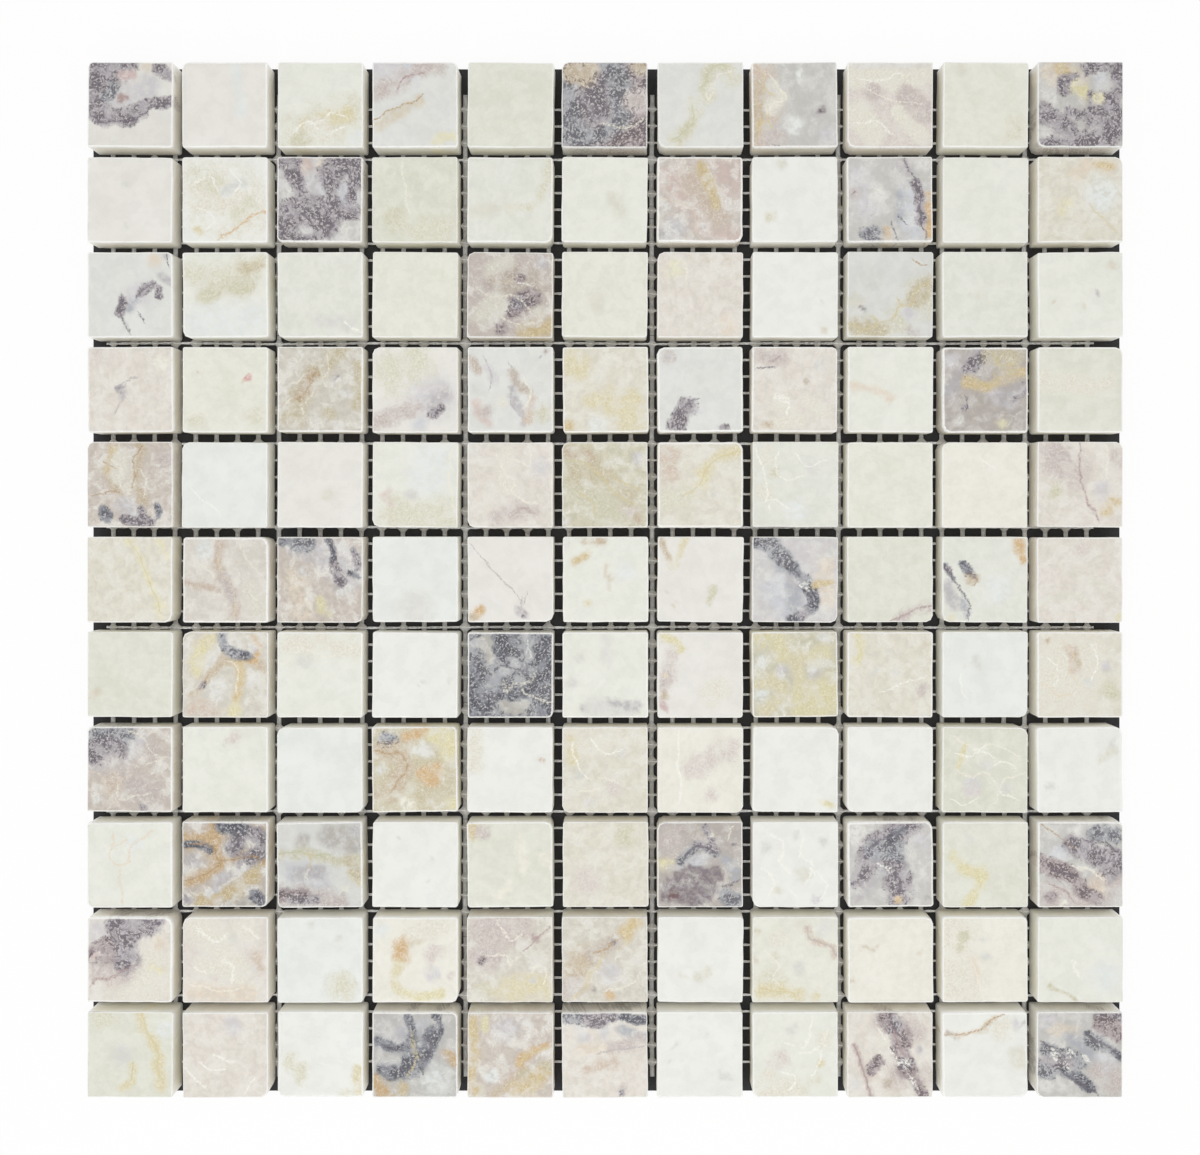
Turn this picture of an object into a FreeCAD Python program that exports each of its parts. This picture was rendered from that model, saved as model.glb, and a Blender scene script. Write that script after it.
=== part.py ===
import FreeCAD, Part
import os
from FreeCAD import Vector

# A sheet of square marble mosaic tiles, held at an even spacing by a net glued to their backs.
# All sizes are in millimetres. X runs across the sheet, Y up the sheet and Z out of the stone's face.
# The origin is under the centre of the sheet, on the surface that the net's back lies on.

# The grid of tiles
columns = 11
rows = 11
tile_side = 25.0
joint_width = 3.0

# One tile
tile_thickness = 9.5
corner_cut = 1.0
arris_cut = 0.6
back_arris_cut = 0.3

# The net: flat rovings run up the sheet, with thinner yarns across them
roving_width = 1.3
roving_thickness = 0.3
roving_pitch = 6.24
yarn_width = 0.65
yarn_thickness = 0.3
yarn_pitch = 5.03
bond_depth = 0.15

# Where the net lies on the back of the sheet. A margin is from the sheet's edge to the middle of
# the first strand, and on the far side it is the least that may be left there.
net_left_margin = 4.2
net_right_margin = 4.5
net_top_margin = 11.3
net_bottom_margin = 6.0
roving_tail = 4.5
yarn_tail = 1.4

# The net is divided between yarns, so that no panel has more crossings than this
crossings_per_panel = 400

# Edges nearer than this in height count as level with each other
tolerance = 0.001

tile_pitch = tile_side + joint_width
sheet_width = columns * tile_pitch - joint_width
sheet_height = rows * tile_pitch - joint_width
net_thickness = roving_thickness + yarn_thickness - bond_depth

first_roving_x = net_left_margin - sheet_width / 2
first_yarn_y = sheet_height / 2 - net_top_margin
roving_count = int((sheet_width - net_left_margin - net_right_margin) / roving_pitch) + 1
yarn_count = int((sheet_height - net_top_margin - net_bottom_margin) / yarn_pitch) + 1


def is_level(edge):
    return edge.BoundBox.ZLength < tolerance


def upright_edges(solid):
    return [edge for edge in solid.Edges if not is_level(edge)]


def edges_at_height(solid, height):
    level = [edge for edge in solid.Edges if is_level(edge)]
    return [edge for edge in level if abs(edge.BoundBox.ZMin - height) < tolerance]


def make_tile():
    """One stone with its corners knocked off, centred on Z with its back at the height of zero."""
    stone = Part.makeBox(tile_side, tile_side, tile_thickness)
    stone.translate(Vector(-tile_side / 2, -tile_side / 2, 0))
    stone = stone.makeChamfer(corner_cut, upright_edges(stone))
    stone = stone.makeChamfer(arris_cut, edges_at_height(stone, tile_thickness))
    return stone.makeChamfer(back_arris_cut, edges_at_height(stone, 0))


def make_tile_row(tile, row):
    """The stones of one row, counted from the top of the sheet, seated on the net."""
    y = (sheet_height - tile_side) / 2 - row * tile_pitch
    stones = []
    for column in range(columns):
        stone = tile.copy()
        x = (tile_side - sheet_width) / 2 + column * tile_pitch
        stone.translate(Vector(x, y, net_thickness))
        stones.append(stone)
    return Part.makeCompound(stones)


def roving_x(roving):
    return first_roving_x + roving * roving_pitch


def yarn_y(yarn):
    return first_yarn_y - yarn * yarn_pitch


def make_roving(roving, low_y, high_y):
    strand = Part.makeBox(roving_width, high_y - low_y, roving_thickness)
    strand.translate(Vector(roving_x(roving) - roving_width / 2, low_y, 0))
    return strand


def make_yarn(yarn):
    length = (roving_count - 1) * roving_pitch + roving_width + 2 * yarn_tail
    strand = Part.makeBox(length, yarn_width, yarn_thickness)
    left = first_roving_x - roving_width / 2 - yarn_tail
    strand.translate(Vector(left, yarn_y(yarn) - yarn_width / 2, net_thickness - yarn_thickness))
    return strand


def make_net_panel(first, last):
    """The net from one yarn to another, its strands bonded into one solid where they cross.

    A panel ends midway between two yarns, where the next one meets it, or in the rovings' loose tails.
    """
    high_y = yarn_y(first) + (roving_tail if first == 0 else yarn_pitch / 2)
    low_y = yarn_y(last) - (roving_tail if last == yarn_count - 1 else yarn_pitch / 2)
    rovings = [make_roving(roving, low_y, high_y) for roving in range(roving_count)]
    yarns = [make_yarn(yarn) for yarn in range(first, last + 1)]
    return rovings[0].multiFuse(rovings[1:] + yarns).removeSplitter()


def panel_spans():
    """The first and last yarn of each panel, shared out evenly."""
    most = max(1, crossings_per_panel // roving_count)
    panels = -(-yarn_count // most)
    starts = [yarn_count * panel // panels for panel in range(panels + 1)]
    return [(start, end - 1) for start, end in zip(starts, starts[1:])]


def export(shape, name):
    shape.exportStep(os.path.join("parts", name + ".step"))


os.makedirs("parts", exist_ok=True)

tile = make_tile()
for row in range(rows):
    export(make_tile_row(tile, row), f"tile_row_{row + 1:02d}")

for panel, (first, last) in enumerate(panel_spans()):
    export(make_net_panel(first, last), f"net_panel_{panel + 1:02d}")

print(f"sheet {sheet_width:.1f} x {sheet_height:.1f} x {net_thickness + tile_thickness:.2f} mm")
print(f"net of {roving_count} rovings and {yarn_count} yarns in {len(panel_spans())} panels")
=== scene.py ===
import math
import random

import bmesh
import bpy
import numpy as np
from mathutils import Matrix, Vector


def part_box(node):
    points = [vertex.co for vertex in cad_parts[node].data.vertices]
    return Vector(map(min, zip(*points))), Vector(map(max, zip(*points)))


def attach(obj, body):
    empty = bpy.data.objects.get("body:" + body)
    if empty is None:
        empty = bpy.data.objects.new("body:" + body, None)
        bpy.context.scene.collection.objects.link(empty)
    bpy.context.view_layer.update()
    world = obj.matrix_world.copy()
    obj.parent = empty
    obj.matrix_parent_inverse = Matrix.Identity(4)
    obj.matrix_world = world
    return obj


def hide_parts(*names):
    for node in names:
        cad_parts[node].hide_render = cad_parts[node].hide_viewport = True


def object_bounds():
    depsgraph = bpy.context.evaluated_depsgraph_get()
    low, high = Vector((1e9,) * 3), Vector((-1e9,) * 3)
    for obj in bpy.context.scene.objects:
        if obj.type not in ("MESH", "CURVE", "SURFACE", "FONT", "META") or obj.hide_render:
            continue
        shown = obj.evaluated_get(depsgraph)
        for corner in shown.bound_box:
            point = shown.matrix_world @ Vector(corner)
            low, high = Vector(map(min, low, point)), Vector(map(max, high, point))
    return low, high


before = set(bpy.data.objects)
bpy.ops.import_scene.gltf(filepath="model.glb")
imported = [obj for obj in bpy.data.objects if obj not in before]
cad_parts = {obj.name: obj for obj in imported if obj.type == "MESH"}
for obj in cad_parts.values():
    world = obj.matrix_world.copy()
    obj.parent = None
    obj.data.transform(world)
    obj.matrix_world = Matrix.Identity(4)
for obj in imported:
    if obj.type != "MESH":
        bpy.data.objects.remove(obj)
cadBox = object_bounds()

millimetre = 0.001
scene = bpy.context.scene


# Camera: straight above the sheet, framed as in the photo

photo = {
    "width": 1200,                     # pixels
    "height": 1155,
    "sheetLeft": 87.4,                 # outline of the stones' faces, in pixels
    "sheetRight": 1122.8,
    "sheetTop": 62.1,
    "sheetBottom": 1097.5,
    "pointUnderLens": (628.0, 522.0),  # around here no stone shows its sides
    "distance": 0.43,                  # metres from the lens to the stones' faces
    "sensorWidth": 36,                 # mm
    "nearest": 0.01,                   # metres from the lens, where the camera begins to see
}

low, high = cadBox
faceHeight = high.z
middle = (low + high) / 2
pixelsPerMetre = (photo["sheetRight"] - photo["sheetLeft"]) / (high.x - low.x)


def placeInPhoto(x, y):
    # a pixel of the photo as a place on the plane of the stones' faces
    sheetX = (photo["sheetLeft"] + photo["sheetRight"]) / 2
    sheetY = (photo["sheetTop"] + photo["sheetBottom"]) / 2
    return middle.x + (x - sheetX) / pixelsPerMetre, middle.y - (y - sheetY) / pixelsPerMetre


def addCamera():
    data = bpy.data.cameras.new("camera")
    camera = bpy.data.objects.new("camera", data)
    scene.collection.objects.link(camera)
    lensX, lensY = placeInPhoto(*photo["pointUnderLens"])
    camera.location = (lensX, lensY, faceHeight + photo["distance"])
    data.sensor_width = photo["sensorWidth"]
    data.lens = photo["distance"] * pixelsPerMetre / photo["width"] * data.sensor_width
    data.shift_x = (photo["width"] / 2 - photo["pointUnderLens"][0]) / photo["width"]
    data.shift_y = (photo["pointUnderLens"][1] - photo["height"] / 2) / photo["width"]
    data.clip_start = photo["nearest"]
    scene.camera = camera


addCamera()
print("camera placed")


# Shared shader building

def plug(tree, node, values):
    # a node's inputs, each from a number, a colour or another node's output
    for name, value in values.items():
        if isinstance(value, bpy.types.NodeSocket):
            tree.links.new(value, node.inputs[name])
        else:
            node.inputs[name].default_value = value


def put(tree, kind, values=None, **settings):
    node = tree.nodes.new(kind)
    for name, value in settings.items():
        setattr(node, name, value)
    plug(tree, node, values or {})
    return node


def maths(tree, operation, *values):
    return put(tree, "ShaderNodeMath", dict(enumerate(values)), operation=operation).outputs[0]


def vectorMaths(tree, operation, *values):
    return put(tree, "ShaderNodeVectorMath", dict(enumerate(values)), operation=operation).outputs[0]


def times(tree, first, second):
    return maths(tree, "MULTIPLY", first, second)


def ramped(tree, value, start, end, first=0.0, last=1.0):
    # a smooth step from first to last, while the value goes from start to end
    values = {"Value": value, "From Min": start, "From Max": end, "To Min": first, "To Max": last}
    return put(tree, "ShaderNodeMapRange", values, interpolation_type="SMOOTHSTEP").outputs["Result"]


def mixed(tree, factor, first, second, blend="MIX"):
    node = put(tree, "ShaderNodeMix", data_type="RGBA", blend_type=blend)
    sockets = {"Factor_Float": factor, "A_Color": first, "B_Color": second}
    for socket in node.inputs:
        if socket.identifier not in sockets:
            continue
        value = sockets[socket.identifier]
        if isinstance(value, bpy.types.NodeSocket):
            tree.links.new(value, socket)
        else:
            socket.default_value = value if isinstance(value, float) else (*value, 1)
    return next(socket for socket in node.outputs if socket.identifier == "Result_Color")


def gamma(tree, colour, power):
    return put(tree, "ShaderNodeGamma", {"Color": colour, "Gamma": power}).outputs["Color"]


def noisy(tree, place, scale, detail, roughness):
    # patterns are flat, on the first two of the place's three numbers
    values = {"Vector": place, "Scale": scale, "Detail": detail, "Roughness": roughness}
    return put(tree, "ShaderNodeTexNoise", values, noise_dimensions="2D").outputs


def startGroup(name, inputs, outputs):
    # its sockets are given by kind
    tree = bpy.data.node_groups.new(name, "ShaderNodeTree")
    for direction, sockets in (("INPUT", inputs), ("OUTPUT", outputs)):
        for kind, socketNames in sockets.items():
            for socketName in socketNames:
                tree.interface.new_socket(socketName, in_out=direction, socket_type=f"NodeSocket{kind}")
    return tree, tree.nodes.new("NodeGroupInput").outputs, tree.nodes.new("NodeGroupOutput")


def useGroup(tree, group, values):
    return put(tree, "ShaderNodeGroup", values, node_tree=group).outputs


def readAttribute(tree, name, output="Fac"):
    return put(tree, "ShaderNodeAttribute", attribute_name=name).outputs[output]


def objectPlace(tree):
    return tree.nodes.new("ShaderNodeTexCoord").outputs["Object"]


def newMaterial(name):
    material = bpy.data.materials.new(name)
    material.use_nodes = True
    return material, material.node_tree, material.node_tree.nodes["Principled BSDF"]


def srgb(red, green, blue):
    # a colour as it is seen on a screen, from 0 to 255, by the standard curve
    share = [value / 255 for value in (red, green, blue)]
    return tuple(v / 12.92 if v <= 0.04045 else ((v + 0.055) / 1.055) ** 2.4 for v in share)


# Shared mesh building

def meshFrom(bm, name):
    mesh = bpy.data.meshes.new(name)
    bm.to_mesh(mesh)
    bm.free()
    return mesh


def addObject(name, mesh, material):
    mesh.materials.append(material)
    added = bpy.data.objects.new(name, mesh)
    scene.collection.objects.link(added)
    return added


# Light: a pale room and soft lamps all round

lighting = {
    "roomStrength": 0.6,
    "roomColour": (1.0, 0.995, 0.975),
    "lamps": [
        # azimuth and elevation in degrees, distance and side in metres, watts
        (190, 84, 1.3, 1.3, 3.75),
        (190, 46, 1.0, 0.32, 1.15),
        (10, 50, 1.1, 0.32, 0.6),
        (100, 48, 1.1, 0.32, 0.73),
        (280, 48, 1.1, 0.32, 0.73),
    ],
}


def addLamp(name, azimuth, elevation, distance, side, watts):
    # azimuth is counted clockwise from the top of the photo
    data = bpy.data.lights.new(name, "AREA")
    data.shape = "SQUARE"
    data.size = side
    data.energy = watts
    lamp = bpy.data.objects.new(name, data)
    turn = math.radians(azimuth)
    lift = math.radians(elevation)
    away = Vector((math.sin(turn) * math.cos(lift), math.cos(turn) * math.cos(lift), math.sin(lift)))
    lamp.location = middle + away * distance
    lamp.rotation_euler = away.to_track_quat("Z", "Y").to_euler()
    scene.collection.objects.link(lamp)


def seenDirectly(tree):
    # 1 for what the camera sees, also in gloss or through glass, and 0 for the light on the object
    path = tree.nodes.new("ShaderNodeLightPath").outputs
    reflected = maths(tree, "MAXIMUM", path["Is Glossy Ray"], path["Is Transmission Ray"])
    return maths(tree, "MAXIMUM", path["Is Camera Ray"], reflected)


def lightRoom():
    for number, values in enumerate(lighting["lamps"]):
        addLamp(f"softLamp{number + 1}", *values)
    world = bpy.data.worlds.new("paleRoom")
    scene.world = world
    world.use_nodes = True
    tree = world.node_tree
    strength = lighting["roomStrength"]
    light = maths(tree, "MULTIPLY_ADD", seenDirectly(tree), 1 - strength, strength)
    plug(tree, tree.nodes["Background"], {"Color": (*lighting["roomColour"], 1), "Strength": light})


lightRoom()
scene.view_settings.view_transform = "Standard"
print("lights placed")


# Glue: a patchy dried film, on the net and on the stones' backs

glueLook = {
    "colour": srgb(203, 202, 199),
    "patches": (700.0, 3.0, 0.6),          # scale to the metre, detail and roughness
    "film": (0.85, 1.2),                   # patches and amount, from none of it to all
    "shade": (0.35, 0.65, 0.88, 1.04),     # in the patches from, to, and how dark to how bright
    "cover": 0.85,                         # how much it hides
    "besideRoving": (0.8, 2.2),            # mm from a strand's middle, from full to none
    "besideYarn": (0.3, 1.5),
    "onBack": (0.55, 0.2),                 # more beside the strands, and the least elsewhere
}


def driedGlueGroup():
    inputs = {"Color": ["Colour"], "Vector": ["Place"], "Float": ["Amount"]}
    tree, given, result = startGroup("driedGlue", inputs, {"Color": ["Colour"], "Float": ["Film"]})
    patches = noisy(tree, given["Place"], *glueLook["patches"])["Fac"]
    film = ramped(tree, maths(tree, "ADD", patches, given["Amount"]), *glueLook["film"])
    glue = mixed(tree, 1.0, glueLook["colour"], ramped(tree, patches, *glueLook["shade"]), "MULTIPLY")
    colour = mixed(tree, times(tree, film, glueLook["cover"]), given["Colour"], glue)
    plug(tree, result, {"Colour": colour, "Film": film})
    return tree


driedGlue = driedGlueGroup()


# The net's places, which the glue on the stones' backs follows too

netCut = {
    "firstAcross": 4.2,          # mm, from the sheet's left edge to the middle of the first roving
    "pitchAcross": 6.24,
    "firstDown": 11.3,           # mm, from its top edge to the middle of the first pair of yarns
    "pitchDown": 5.03,
    "rovingWidth": 1.3,
    "rovingHeights": (0.0, 0.3),
    "pinchedHeights": (0.13, 0.32),    # between the two yarns, where they cross it
    "frayedHeights": (0.05, 0.22),     # at its loose ends
    "pinch": (0.8, 1.02, 0.96),  # mm on each side of a crossing, and how wide it is there and at it
    "rovingTail": 4.5,           # mm, from its last crossing to its loose end
    "yarnSize": (0.42, 0.16),    # mm, width and thickness of each of the two
    "yarnAside": 0.18,           # mm, how far they swing to each side, and up and down, as they twist
    "yarnLift": 0.145,
    "yarnMiddle": 0.225,         # mm, height of the middle of the pair
    "yarnTail": 1.4,             # mm, from the edge of the last roving to its loose end
    "twist": 180,                # degrees, from one crossing to the next
    "wander": 0.12,              # mm, how far the strands drift
    "drift": (5, 25, 80),        # waves that they drift in, and their shortest and longest, in mm
    "glueArms": (1.75, 1.7),     # mm, from a crossing along the yarns and along the roving
    "glueFillet": (0.95, 0.62),
    "glueHeights": (0.06, 0.13, 0.3, 0.4),    # mm, of its lower peak, its edge from and to, and its peak
    "glueSpread": (0.75, 1.3),   # how many times as wide a crossing's glue may be
    "rovingSides": 6,
    "yarnSides": 5,
    "yarnSteps": (4, 2),         # from one crossing to the next, and in a loose tail
    "tailSpare": 0.5,            # mm, how far short of a tail's end a panel may stop and still have one
    "seed": 31,
    "weld": 0.001,               # mm, what lies closer than this is one point
    "mostStrands": 200,          # more than the sheet has on either side of the first
}

firstAcross = low.x / millimetre + netCut["firstAcross"]
firstDown = high.y / millimetre - netCut["firstDown"]


# The marble: patterns follow each stone's own grain and the figure painted on it

marbleLook = {
    "fleck": srgb(226, 220, 216),
    "cloud": srgb(229, 229, 224),
    "pearl": srgb(240, 238, 230),
    "grit": (0.5, 0.5, 0.48),
    # near white on the rounded top edges: partly wear, partly a painted highlight
    "wornEdgeAndHighlight": srgb(254, 254, 252),
    "sawnSide": srgb(224, 221, 213),
    "sawnBack": srgb(214, 212, 203),
    "paintedSideGlow": (0.12, 0.115, 0.1),    # painted glow: how bright emission makes the sides, for the light that comes through
    "glowDepth": 0.012,                # metres that this light comes through the stone
    "glowRadius": (1.0, 0.95, 0.85),   # and its shares for red, green and blue
    "faceRoughness": 0.25,
    "sideRoughness": 0.55,
    "darkRougher": 0.15,               # what broken dark grains add to it
    "refraction": 1.5,
    "bump": 0.00004,                   # metres
    "sideHidden": 0.5,                 # how much of the figure the sawn sides and back hide
    "backHidden": 0.6,
    "gritShare": 0.15,
    "wisp": (0.5, 0.12),               # more on lively stone, and the least on any
    "deeper": 1.25,                    # powers that make a stain's colour deeper and paler
    "paler": 0.72,
    "foldShade": (0.9, 0.88, 0.86),    # how dark a stain's folds and its broken grains are
    "brokenShade": (0.4, 0.385, 0.42),
    "stainEdge": (0.6, 0.15, -0.9),    # how far lumps, grains and haze move the edge of a stain
    "brokenEdge": (0.9, 0.4, -0.9),
    "denseFrom": 0.6,                  # the reach past which broken grains crowd together
    "denseEdge": (0.35, 0.8),          # and by how much for their reach and for lumps
    "threadWobble": (1.6, -0.8),       # how far crumples move a thread, and from where
    "stirred": (0.6, 0.6, 0),          # mm that stirring moves the small patterns, and the large ones
    "swirled": (2.0, 2.0, 0),
    "patterns": {
        # scale to the millimetre, detail and roughness
        "stir": (0.5, 1.5, 0.5),
        "haze": (0.2, 4.0, 0.6),
        "mottle": (0.55, 4.0, 0.65),
        "speck": (1.5, 3.0, 0.65),
        "crumple": (0.6, 3.0, 0.6),
        "fine": (1.1, 3.0, 0.6),
    },
    "steps": {
        # where each begins and ends in its pattern, and its first and last value if not 0 and 1
        "pale": (0.0, 0.035, 1.0, 0.0),
        "toned": (0.34, 0.58, 0.5, 1.0),
        "clouds": (0.36, 0.62, -0.03, 0.012),
        "blotches": (0.36, 0.62, -0.075, 0.045),
        "whiter": (0.42, 0.7, 0.0, 0.6),
        "wispy": (0.46, 0.6),
        "grit": (0.58, 0.72),
        "gritty": (0.5, 0.4),
        "stroke": (0.0, 0.2),
        "covered": (0.0, 0.9),
        "deeper": (0.4, 0.62, 0.0, 0.65),
        "fold": (0.0, 0.03, 0.4, 0.0),
        "stainGrain": (0.36, 0.62, 1.05, 0.94),
        "stainGaps": (0.48, 0.64, 0.0, 0.45),
        "veins": (0.62, 0.42, 0.1, 0.5),
        "halo": (-0.05, 0.55),
        "smoke": (0.42, 0.58),
        "crowd": (0.66, 0.46, 0.3, 1.0),
        "broken": (0.47, 0.62, 0.0, 0.95),
        "core": (0.34, 0.55),
        "flecks": (0.46, 0.34, 0.0, 0.55),
        "thread": (0.06, 0.5, 0.85, 0.0),
        "threadGaps": (0.6, 0.42, 0.3, 1.0),
        "patchyWearAndHighlight": (0.3, 0.5, 0.75, 1.0),
        "bumpy": (0.0, 1.0, 0.15, 1.0),
    },
}


def pattern(tree, place, name, output="Fac"):
    return noisy(tree, place, *marbleLook["patterns"][name])[output]


def stepped(tree, value, name):
    return ramped(tree, value, *marbleLook["steps"][name])


def frayed(tree, mask, shapes, shares):
    # a mask whose edge each of the patterns moves by its share
    for shape, share in zip(shapes, shares):
        mask = maths(tree, "MULTIPLY_ADD", shape, share, mask)
    return mask


def marbleColourGroup():
    inputs = {
        "Vector": ["Grain"],
        "Float": ["Lively", "Cover", "Breccia", "Thread", "Threaded"],
        "Color": ["Base", "Tone", "Tint", "Thread Tint"],
    }
    tree, given, result = startGroup("marbleColour", inputs, {"Color": ["Colour"], "Float": ["Dark"]})

    stir = pattern(tree, given["Grain"], "stir", "Color")
    swirled = vectorMaths(tree, "MULTIPLY_ADD", stir, marbleLook["swirled"], given["Grain"])
    stirred = vectorMaths(tree, "MULTIPLY_ADD", stir, marbleLook["stirred"], given["Grain"])
    haze, crumple = [pattern(tree, swirled, name) for name in ("haze", "crumple")]
    mottle, speck = [pattern(tree, stirred, name) for name in ("mottle", "speck")]
    shapes = crumple, speck, mottle, haze
    ridge, grainy, lumpy, cloudy = [maths(tree, "SUBTRACT", shape, 0.5) for shape in shapes]
    pale = stepped(tree, maths(tree, "ABSOLUTE", ridge), "pale")

    # plain stone: faint clouds, soft stains, pale wisps and a few grey specks
    tone = mixed(tree, stepped(tree, mottle, "toned"), given["Base"], given["Tone"])
    clouds = maths(tree, "ADD", stepped(tree, haze, "clouds"), 1.0)
    blotches = times(tree, stepped(tree, mottle, "blotches"), given["Lively"])
    plain = mixed(tree, 1.0, tone, maths(tree, "ADD", clouds, blotches), "MULTIPLY")
    whiter = times(tree, stepped(tree, haze, "whiter"), given["Lively"])
    plain = mixed(tree, whiter, plain, marbleLook["cloud"])
    wisp = times(tree, pale, maths(tree, "MULTIPLY_ADD", given["Lively"], *marbleLook["wisp"]))
    plain = mixed(tree, times(tree, wisp, stepped(tree, haze, "wispy")), plain, marbleLook["pearl"])
    grit = times(tree, stepped(tree, speck, "grit"), stepped(tree, haze, "gritty"))
    plain = mixed(tree, times(tree, grit, marbleLook["gritShare"]), plain, marbleLook["grit"])

    # stained stone: soft clouds with a little grain and a few pale veins
    reach = frayed(tree, given["Cover"], (lumpy, grainy, cloudy), marbleLook["stainEdge"])
    covered = times(tree, stepped(tree, reach, "covered"), stepped(tree, given["Cover"], "stroke"))
    deeper = gamma(tree, given["Tint"], marbleLook["deeper"])
    stained = mixed(tree, stepped(tree, mottle, "deeper"), given["Tint"], deeper)
    fold = stepped(tree, maths(tree, "ABSOLUTE", lumpy), "fold")
    stained = mixed(tree, fold, stained, vectorMaths(tree, "MULTIPLY", deeper, marbleLook["foldShade"]))
    stained = mixed(tree, 1.0, stained, stepped(tree, speck, "stainGrain"), "MULTIPLY")
    stained = mixed(tree, stepped(tree, haze, "stainGaps"), stained, plain)
    veins = times(tree, pale, stepped(tree, haze, "veins"))
    stained = mixed(tree, veins, stained, marbleLook["pearl"])
    colour = mixed(tree, covered, plain, stained)

    # broken dark stone: a smoky cloud, and in it dark grains, thickest in the middle, and pale flecks
    reach = frayed(tree, given["Breccia"], (lumpy, grainy, cloudy), marbleLook["brokenEdge"])
    within = stepped(tree, given["Breccia"], "stroke")
    paler = gamma(tree, given["Tint"], marbleLook["paler"])
    smoke = mixed(tree, stepped(tree, haze, "smoke"), given["Tint"], paler)
    colour = mixed(tree, times(tree, stepped(tree, reach, "halo"), within), colour, smoke)
    crowd = times(tree, stepped(tree, haze, "crowd"), within)
    deep = maths(tree, "SUBTRACT", reach, marbleLook["denseFrom"])
    dense = frayed(tree, speck, (deep, lumpy), marbleLook["denseEdge"])
    broken = times(tree, stepped(tree, dense, "broken"), crowd)
    dark = vectorMaths(tree, "MULTIPLY", given["Tint"], marbleLook["brokenShade"])
    colour = mixed(tree, broken, colour, dark)
    core = times(tree, stepped(tree, reach, "core"), crowd)
    flecks = times(tree, stepped(tree, speck, "flecks"), core)
    colour = mixed(tree, flecks, colour, marbleLook["fleck"])

    # thin threads
    wobble = maths(tree, "MULTIPLY_ADD", crumple, *marbleLook["threadWobble"])
    offset = maths(tree, "ABSOLUTE", maths(tree, "ADD", given["Thread"], wobble))
    thread = times(tree, stepped(tree, offset, "thread"), given["Threaded"])
    thread = times(tree, thread, stepped(tree, speck, "threadGaps"))
    colour = mixed(tree, thread, colour, given["Thread Tint"])

    plug(tree, result, {"Colour": colour, "Dark": broken})
    return tree


def nearStrand(tree, place, first, pitch, inner, outer):
    # 1 beside a strand of the net, and 0 away from it. Places are in metres, the rest in millimetres.
    away = maths(tree, "SUBTRACT", place, first * millimetre)
    gap = maths(tree, "PINGPONG", away, pitch / 2 * millimetre)
    return ramped(tree, gap, inner * millimetre, outer * millimetre, 1.0, 0.0)


def glueOnBack(tree, place):
    # how much glue the net's strands pressed on to a stone's back
    sheet = put(tree, "ShaderNodeSeparateXYZ", {"Vector": place}).outputs
    rovings = nearStrand(tree, sheet["X"], firstAcross, netCut["pitchAcross"], *glueLook["besideRoving"])
    yarns = nearStrand(tree, sheet["Y"], firstDown, netCut["pitchDown"], *glueLook["besideYarn"])
    amount = maths(tree, "MULTIPLY_ADD", maths(tree, "MAXIMUM", rovings, yarns), *glueLook["onBack"])
    return times(tree, amount, readAttribute(tree, "back"))


def marbleMaterial():
    material, tree, shader = newMaterial("honedMarble")
    place = objectPlace(tree)
    grain = readAttribute(tree, "grain", "Vector")
    side, back = readAttribute(tree, "side"), readAttribute(tree, "back")
    painted = {"Grain": grain, "Thread Tint": readAttribute(tree, "threadTint", "Color")}
    for name in ("lively", "cover", "breccia", "thread", "threaded"):
        painted[name.title()] = readAttribute(tree, name)
    for name in ("base", "tone", "tint"):
        painted[name.title()] = readAttribute(tree, name, "Color")
    figure = useGroup(tree, marbleColourGroup(), painted)

    fine = pattern(tree, grain, "fine")
    sawn = times(tree, side, marbleLook["sideHidden"])
    colour = mixed(tree, sawn, figure["Colour"], marbleLook["sawnSide"])
    # the rounded top edges are painted near white, patchily: partly wear, partly a painted highlight
    patchyWearAndHighlight = times(tree, readAttribute(tree, "wearAndHighlight"), stepped(tree, fine, "patchyWearAndHighlight"))
    colour = mixed(tree, patchyWearAndHighlight, colour, marbleLook["wornEdgeAndHighlight"])
    colour = mixed(tree, times(tree, back, marbleLook["backHidden"]), colour, marbleLook["sawnBack"])
    glued = useGroup(tree, driedGlue, {"Colour": colour, "Place": place, "Amount": glueOnBack(tree, place)})
    rough = ramped(tree, side, 0.0, 1.0, marbleLook["faceRoughness"], marbleLook["sideRoughness"])
    rougher = times(tree, figure["Dark"], marbleLook["darkRougher"])
    # painted glow on the sides: emission that stands in for the light that comes through the stone
    glow = mixed(tree, side, (0, 0, 0), marbleLook["paintedSideGlow"])
    bumpy = stepped(tree, maths(tree, "MAXIMUM", side, back), "bumpy")
    bump = put(tree, "ShaderNodeBump", {"Height": fine, "Distance": marbleLook["bump"], "Strength": bumpy})
    plug(tree, shader, {
        "Base Color": glued["Colour"],
        "Roughness": maths(tree, "ADD", rough, rougher),
        "IOR": marbleLook["refraction"],
        "Normal": bump.outputs["Normal"],
        "Subsurface Weight": side,
        "Subsurface Scale": marbleLook["glowDepth"],
        "Subsurface Radius": marbleLook["glowRadius"],
        "Emission Color": mixed(tree, 1.0, colour, glow, "MULTIPLY"),
        "Emission Strength": 1.0,
    })
    material.cycles.emission_sampling = "NONE"
    return material


marble = marbleMaterial()
print("marble ready")
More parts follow.
